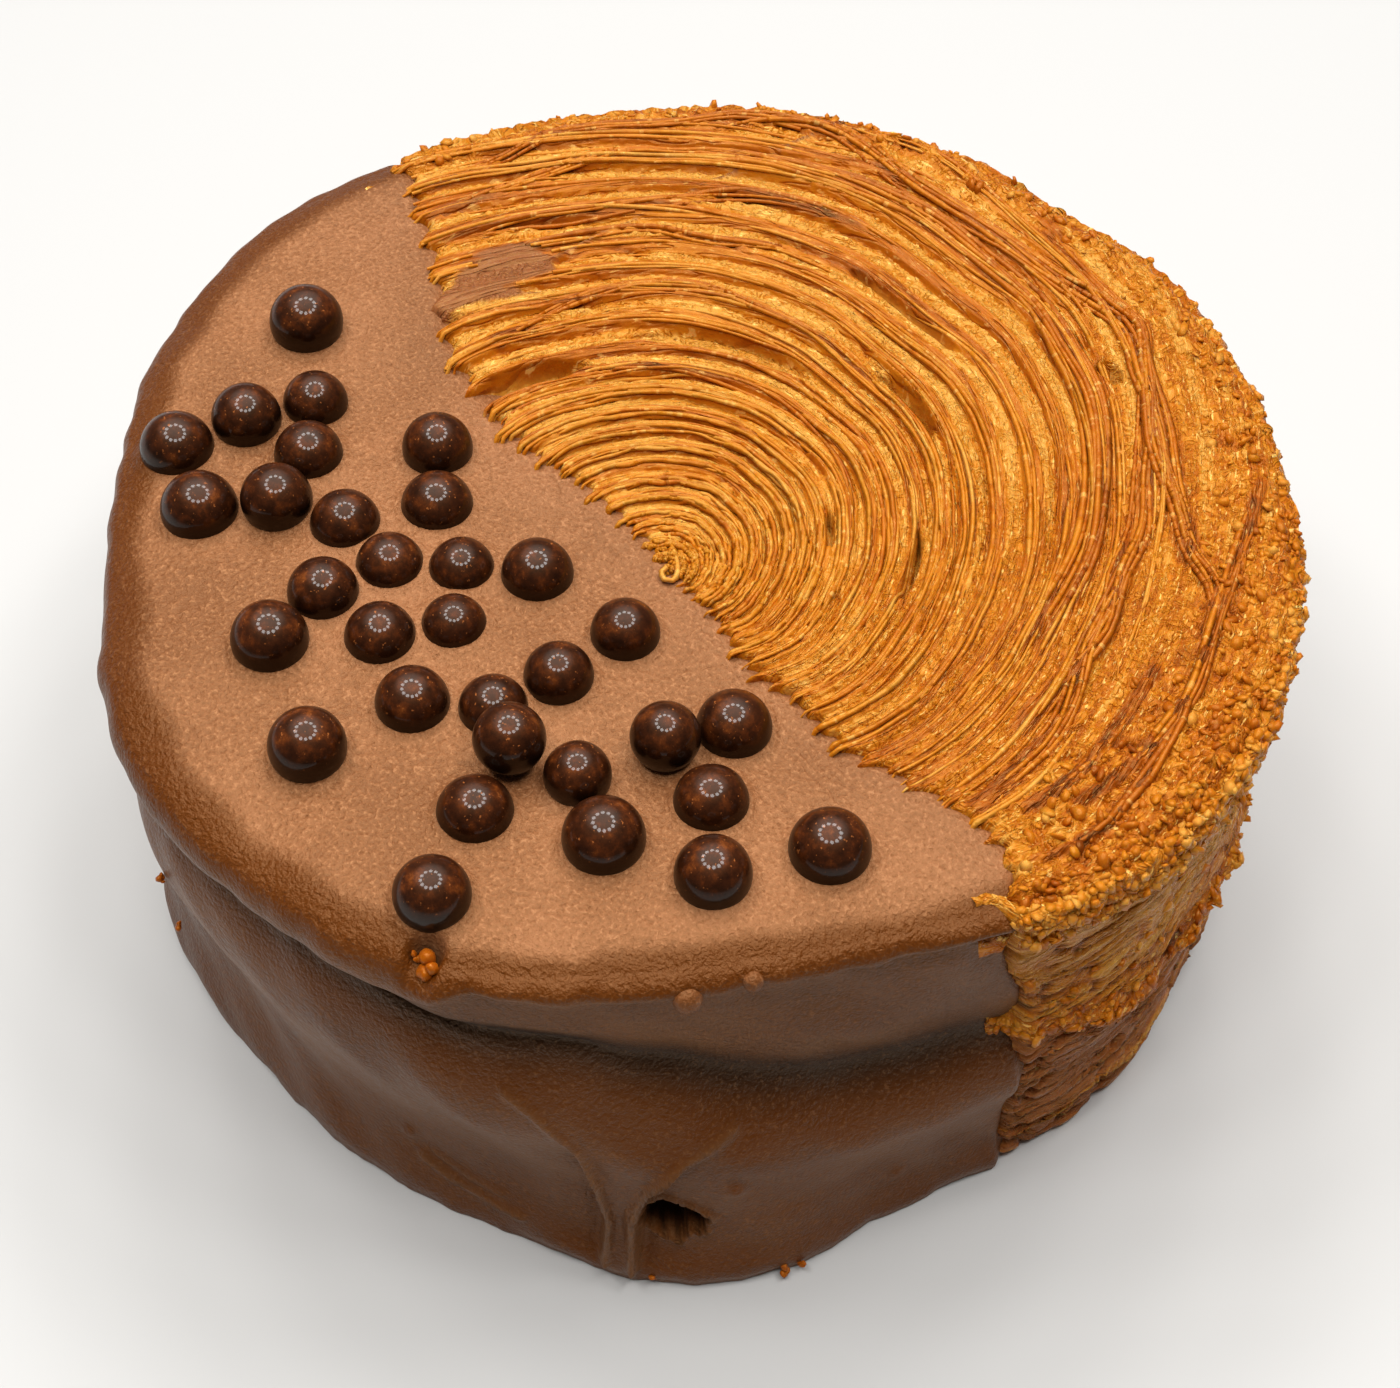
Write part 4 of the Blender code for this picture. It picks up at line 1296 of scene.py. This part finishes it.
def buildCoat():
    look = coatLook
    angle = np.concatenate([np.arange(*stretch) for stretch in look["aroundSteps"]])
    angle = angle[:len(angle) - len(angle) % 4]
    count = len(angle)
    cosine, sine = np.cos(np.radians(angle)), np.sin(np.radians(angle))
    levels = np.concatenate(([0.0, 0.006, 0.014], np.linspace(0.025, 0.98, 84), np.linspace(0.99, 1.9, 30),
                             look["lipLevels"]))
    rows, counts, allMasks = [], [], []

    def addRow(x, y, z, masks):
        rows.append(np.column_stack((x, y, z)))
        counts.append(len(x))
        allMasks.append(masks)

    radius, z, masks = coatSide(angle, np.zeros(count))
    for share in look["undersideShares"]:
        addRow(share * radius * cosine, share * radius * sine, np.zeros(count), masks)
    for level in levels:
        radius, z, masks = coatSide(angle, np.full(count, level))
        addRow(radius * cosine, radius * sine, z, masks)
    shares = np.concatenate([np.linspace(*stretch) for stretch in look["topShares"]])
    for share in shares:
        every = 1 if share > 0.495 else 2 if share > 0.245 else 4  # fewer points towards the middle
        x, y = (share * radius * cosine)[::every], (share * radius * sine)[::every]
        fromLip = (radius[::every] + 1.2) - np.hypot(x, y)
        # painted shade: the lip's roll takes the darker side colours, over a wider band at the left than at
        # the front, and the small opening in the top takes the dark hole colour
        frontal = smoothStep(288, 304, np.degrees(np.arctan2(y, x)) % 360)
        rolled = smoothStep(4.7 - 1.3 * frontal, 2.3 - 0.8 * frontal,
                            fromLip + (1.2 - 0.6 * frontal) * noise2(x / 7, y / 7, 318))
        pit = 0.8 * smoothStep(1.1, 0.5, fromPit(x, y))
        addRow(x, y, coatTopLevel(x, y), {"side": rolled, "hole": pit, "fold": np.zeros(len(x))})
    starts = np.concatenate(([0], np.cumsum(counts))).tolist()
    points = np.concatenate(rows)
    masks = {mask: np.concatenate([row[mask] for row in allMasks]) for mask in masks}
    faces = []
    for level in range(len(rows) - 1):
        faces += ringFaces(starts[level + 1], counts[level + 1], starts[level], counts[level])
    # the chocolate sinks in between the layers past its edge
    x, y, z = points.T.copy()
    past = (y - dipEdgeAt(x, z)) / look["edgeReach"] + 0.12
    onTop = smoothStep(0.93, 0.99, z / roll["height"])
    sink = look["edgeDrop"] * smoothStep(0, 1, past * (1 + 0.8 * (1 - onTop)))
    under = np.clip(crustTop(x, y)[0], -0.6, 0.6) * hill((y - dipEdge(x)) / 3.0) * 0.15
    points[:, 2] += (under - sink) * onTop
    radius = np.hypot(x, y)
    scale = (radius - sink * (1 - onTop) * np.minimum(1, radius / 40)) / np.maximum(radius, 0.01)
    points[:, :2] *= scale[:, None]
    keep = y < dipEdgeAt(x, z) + look["overlap"]
    points, faces, masks = keepFaces(points, faces, keep, masks)
    fold = masks.pop("fold")
    side = np.minimum(masks["side"], 1) * (1 - 0.3 * fold)
    piece = makePiece("chocolateCoat", points, faces, masks)
    # painted light from how each point faces: a side that leans out over the floor gets painted sheen, a
    # greyish reflection of the floor, and the folds get it as a highlight; one that leans back gets painted
    # redder shade, and the foot is made redder too
    upward = upwardOf(piece)
    x, y, z = points.T
    patchy = 0.75 + 0.35 * noise2((x + y) / 9, (z + x - y) / 11, 320)
    paintedSheen = np.maximum(smoothStep(0.10, -0.26, upward) * side * patchy, 0.70 * fold)
    red = np.maximum(smoothStep(0.12, 0.40, upward), 0.8 * smoothStep(3.5, 1.0, z)) * side
    addMask(piece, "paintedSheen", np.clip(paintedSheen, 0, 1))
    addMask(piece, "warmShade", np.clip(red, 0, 1))
    return piece


coatPiece = buildCoat()
coatPiece.data.materials.append(chocolateFinish)
print("coat", len(coatPiece.data.polygons), "faces")

pearlLook = {
    "seed": 3,
    "roundness": 4,  # subdivisions of each pearl
    "unevenness": 0.10,
    "lumpScale": 260.0,
}

strayLook = {
    # small pieces: direction, distance from the middle, height, radius
    "drops": ((324.4, 50.5, 42.4, 1.25), (330.3, 49.7, 43.3, 0.9)),
    "crumbs": ((301.7, 52.5, 43.8, 1.0), (300.6, 52.1, 43.9, 0.5), (320.7, 54.7, 0.95, 0.60),
               (333.3, 54.6, 0.85, 0.55), (334.9, 54.3, 1.00, 0.45), (326.6, 54.6, 0.80, 0.40),
               (267.0, 55.0, 27.5, 0.45), (267.3, 55.0, 20.0, 0.40)),
    "bits": 4,  # balls in each crumb, each this far from its middle, in its radii
    "bitSpread": 0.65,
    "bitSizes": (0.35, 0.75),
    "seed": 6,
    "roundness": 3,
    "dropUnevenness": 0.25,
    "crumbUnevenness": 0.7,
    "lumpScale": 900.0,
}


def buildBalls(name, balls, look, unevenness, surface):
    # uneven balls on given places, each with a radius of its own
    girths = {"girth": [1.01 * girth for middle, girth in balls]}
    source = newObject(name + "Places", [tuple(middle) for middle, girth in balls], [], [], girths)
    tree, given = newTree(name + " on places", (("Roundness", "Int"), ("Seed", "Int")))
    points = addNode(tree, "GeometryNodeMeshToPoints", {"Mesh": given["Geometry"]})
    turn = randomNode(tree, (0, 0, 0), (6.283, 6.283, 6.283), given["Seed"])
    endWithBalls(tree, given, points.outputs[0], turn, namedValue(tree, "girth"))
    return runTree(source, tree, name, {
        "Roundness": look["roundness"], "Unevenness": unevenness * mm, "Lump Scale": look["lumpScale"],
        "Seed": look["seed"], "Finish": surface})


def strayPlaces(group, bits=1):
    draw = np.random.default_rng(strayLook["seed"])
    places = []
    for angle, away, z, radius in strayLook[group]:
        x, y = away * math.cos(math.radians(angle)), away * math.sin(math.radians(angle))
        middle = Vector((x + roll["middle"][0], y + roll["middle"][1], z)) * mm
        if bits == 1:
            places.append((middle, radius * mm))
            continue
        for number in range(bits):
            apart = Vector(draw.uniform(-1, 1, 3)).normalized() * radius * mm * strayLook["bitSpread"]
            places.append((middle + apart, radius * mm * draw.uniform(*strayLook["bitSizes"])))
    return places


pearls = buildBalls("chocolatePearls", pearlSpots, pearlLook, pearlLook["unevenness"], pearlFinish)
strayDrops = buildBalls("chocolateDrops", strayPlaces("drops"), strayLook, strayLook["dropUnevenness"],
                        chocolateFinish)
strayCrumbs = buildBalls("strayCrumbs", strayPlaces("crumbs", strayLook["bits"]), strayLook,
                         strayLook["crumbUnevenness"], crustFinish)
addMask(pearls, "low", smoothStep(0.80, 0.10, upwardOf(pearls)))  # painted shade: a pearl is darker on its lower side
# the drops take half the coat's painted side shade and some of its painted redder shade; the crumbs only a
# baking level
for piece, mask, value in ((strayDrops, "side", 0.5), (strayDrops, "warmShade", 0.4),
                           (strayCrumbs, "toast", 0.60)):
    addMask(piece, mask, np.full(len(piece.data.vertices), value))
print("pearls", len(pearls.data.polygons), "faces")

studio = {
    "floorColour": srgb(198, 197, 195),
    "ringLights": 12,
    "ringRadius": 0.26,
    "ringHeight": 0.55,
    "ringPower": 0.37,
    "ringSize": 0.095,
    "ringShift": 0.06,
    "ringAim": (0, 0, 0.03),
    "behind": (-0.82, 0.57),  # away from the camera
    "skyTilt": 22,  # degrees from straight up to the middle of the soft light, which lies behind the roll
    "skyEdges": (50, 5),  # it fades between these angles round its middle
    "skyStrength": 2.15,
    "worldStrength": 0.06,
    "skyColour": (1.0, 0.985, 0.96, 1),
}

view = {  # worked out from the outlines of the top, the lip and the floor in the photo
    "place": (123.53, -85.72, 210.59),
    "aim": (-9.47, 7.41, 0.0),
    "tilt": -0.373,  # degrees about the line of sight
    "lens": 64.29,
}


def buildFloor():
    size = 2.5
    corners = [(-size, -size, 0), (size, -size, 0), (size, size, 0), (-size, size, 0)]
    floor = newObject("studioFloor", corners, [], [(0, 1, 2, 3)], {})
    floor.location.z = -0.0002
    made, tree = newMaterial("studio floor")
    setShader(tree, {"Base Color": studio["floorColour"], "Roughness": 0.9})
    floor.data.materials.append(made)


def addStudioObject(name, data, place, aim, tilt=0.0):  # looks from its place at the aim
    made = showObject(name, data)
    made.location = place
    made.rotation_mode = "QUATERNION"
    turn = Quaternion((0, 0, 1), math.radians(tilt))
    made.rotation_quaternion = (Vector(aim) - Vector(place)).to_track_quat("-Z", "Y") @ turn
    return made


def buildLights():
    bx, by = studio["behind"]
    for number in range(studio["ringLights"]):
        turn = 2 * math.pi * number / studio["ringLights"]
        place = (studio["ringRadius"] * math.cos(turn) + studio["ringShift"] * bx,
                 studio["ringRadius"] * math.sin(turn) + studio["ringShift"] * by, studio["ringHeight"])
        data = bpy.data.lights.new(f"ring lamp {number}", "AREA")
        data.shape = "DISK"
        data.size = studio["ringSize"]
        data.energy = studio["ringPower"]
        addStudioObject(data.name, data, place, studio["ringAim"])
    world = bpy.data.worlds.new("studio")
    world.use_nodes = True
    tree = world.node_tree
    tilt = math.radians(studio["skyTilt"])
    middle = (math.sin(tilt) * bx, math.sin(tilt) * by, math.cos(tilt))
    facing = addNode(tree, "ShaderNodeVectorMath", {
        0: addNode(tree, "ShaderNodeTexCoord").outputs["Generated"], 1: middle}, operation="DOT_PRODUCT")
    outer, inner = [math.cos(math.radians(edge)) for edge in studio["skyEdges"]]
    glow = addNode(tree, "ShaderNodeMapRange", {
        "Value": facing.outputs["Value"], "From Min": outer, "From Max": inner,
        "To Min": studio["worldStrength"], "To Max": studio["skyStrength"]}, interpolation_type="SMOOTHSTEP")
    setInputs(tree, tree.nodes["Background"],
              {"Color": studio["skyColour"], "Strength": glow.outputs["Result"]})
    bpy.context.scene.world = world
    bpy.context.scene.view_settings.view_transform = "Standard"


def buildCamera():
    data = bpy.data.cameras.new("camera")
    data.lens = view["lens"]
    data.sensor_width = 36
    shift = Vector((*roll["middle"], 0)) * mm
    place, aim = [Vector(view[name]) * mm + shift for name in ("place", "aim")]
    bpy.context.scene.camera = addStudioObject("camera", data, place, aim, view["tilt"])


buildFloor()
buildLights()
buildCamera()

for piece in (crustTopPiece, crustSidePiece, crustStrands, crustGrains, strayCrumbs):
    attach(piece, "root")
    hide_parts("pastry_roll")
for piece in (coatPiece, strayDrops):
    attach(piece, "root")
    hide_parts("chocolate_coat")
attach(pearls, "root")
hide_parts(*pearlNodes)
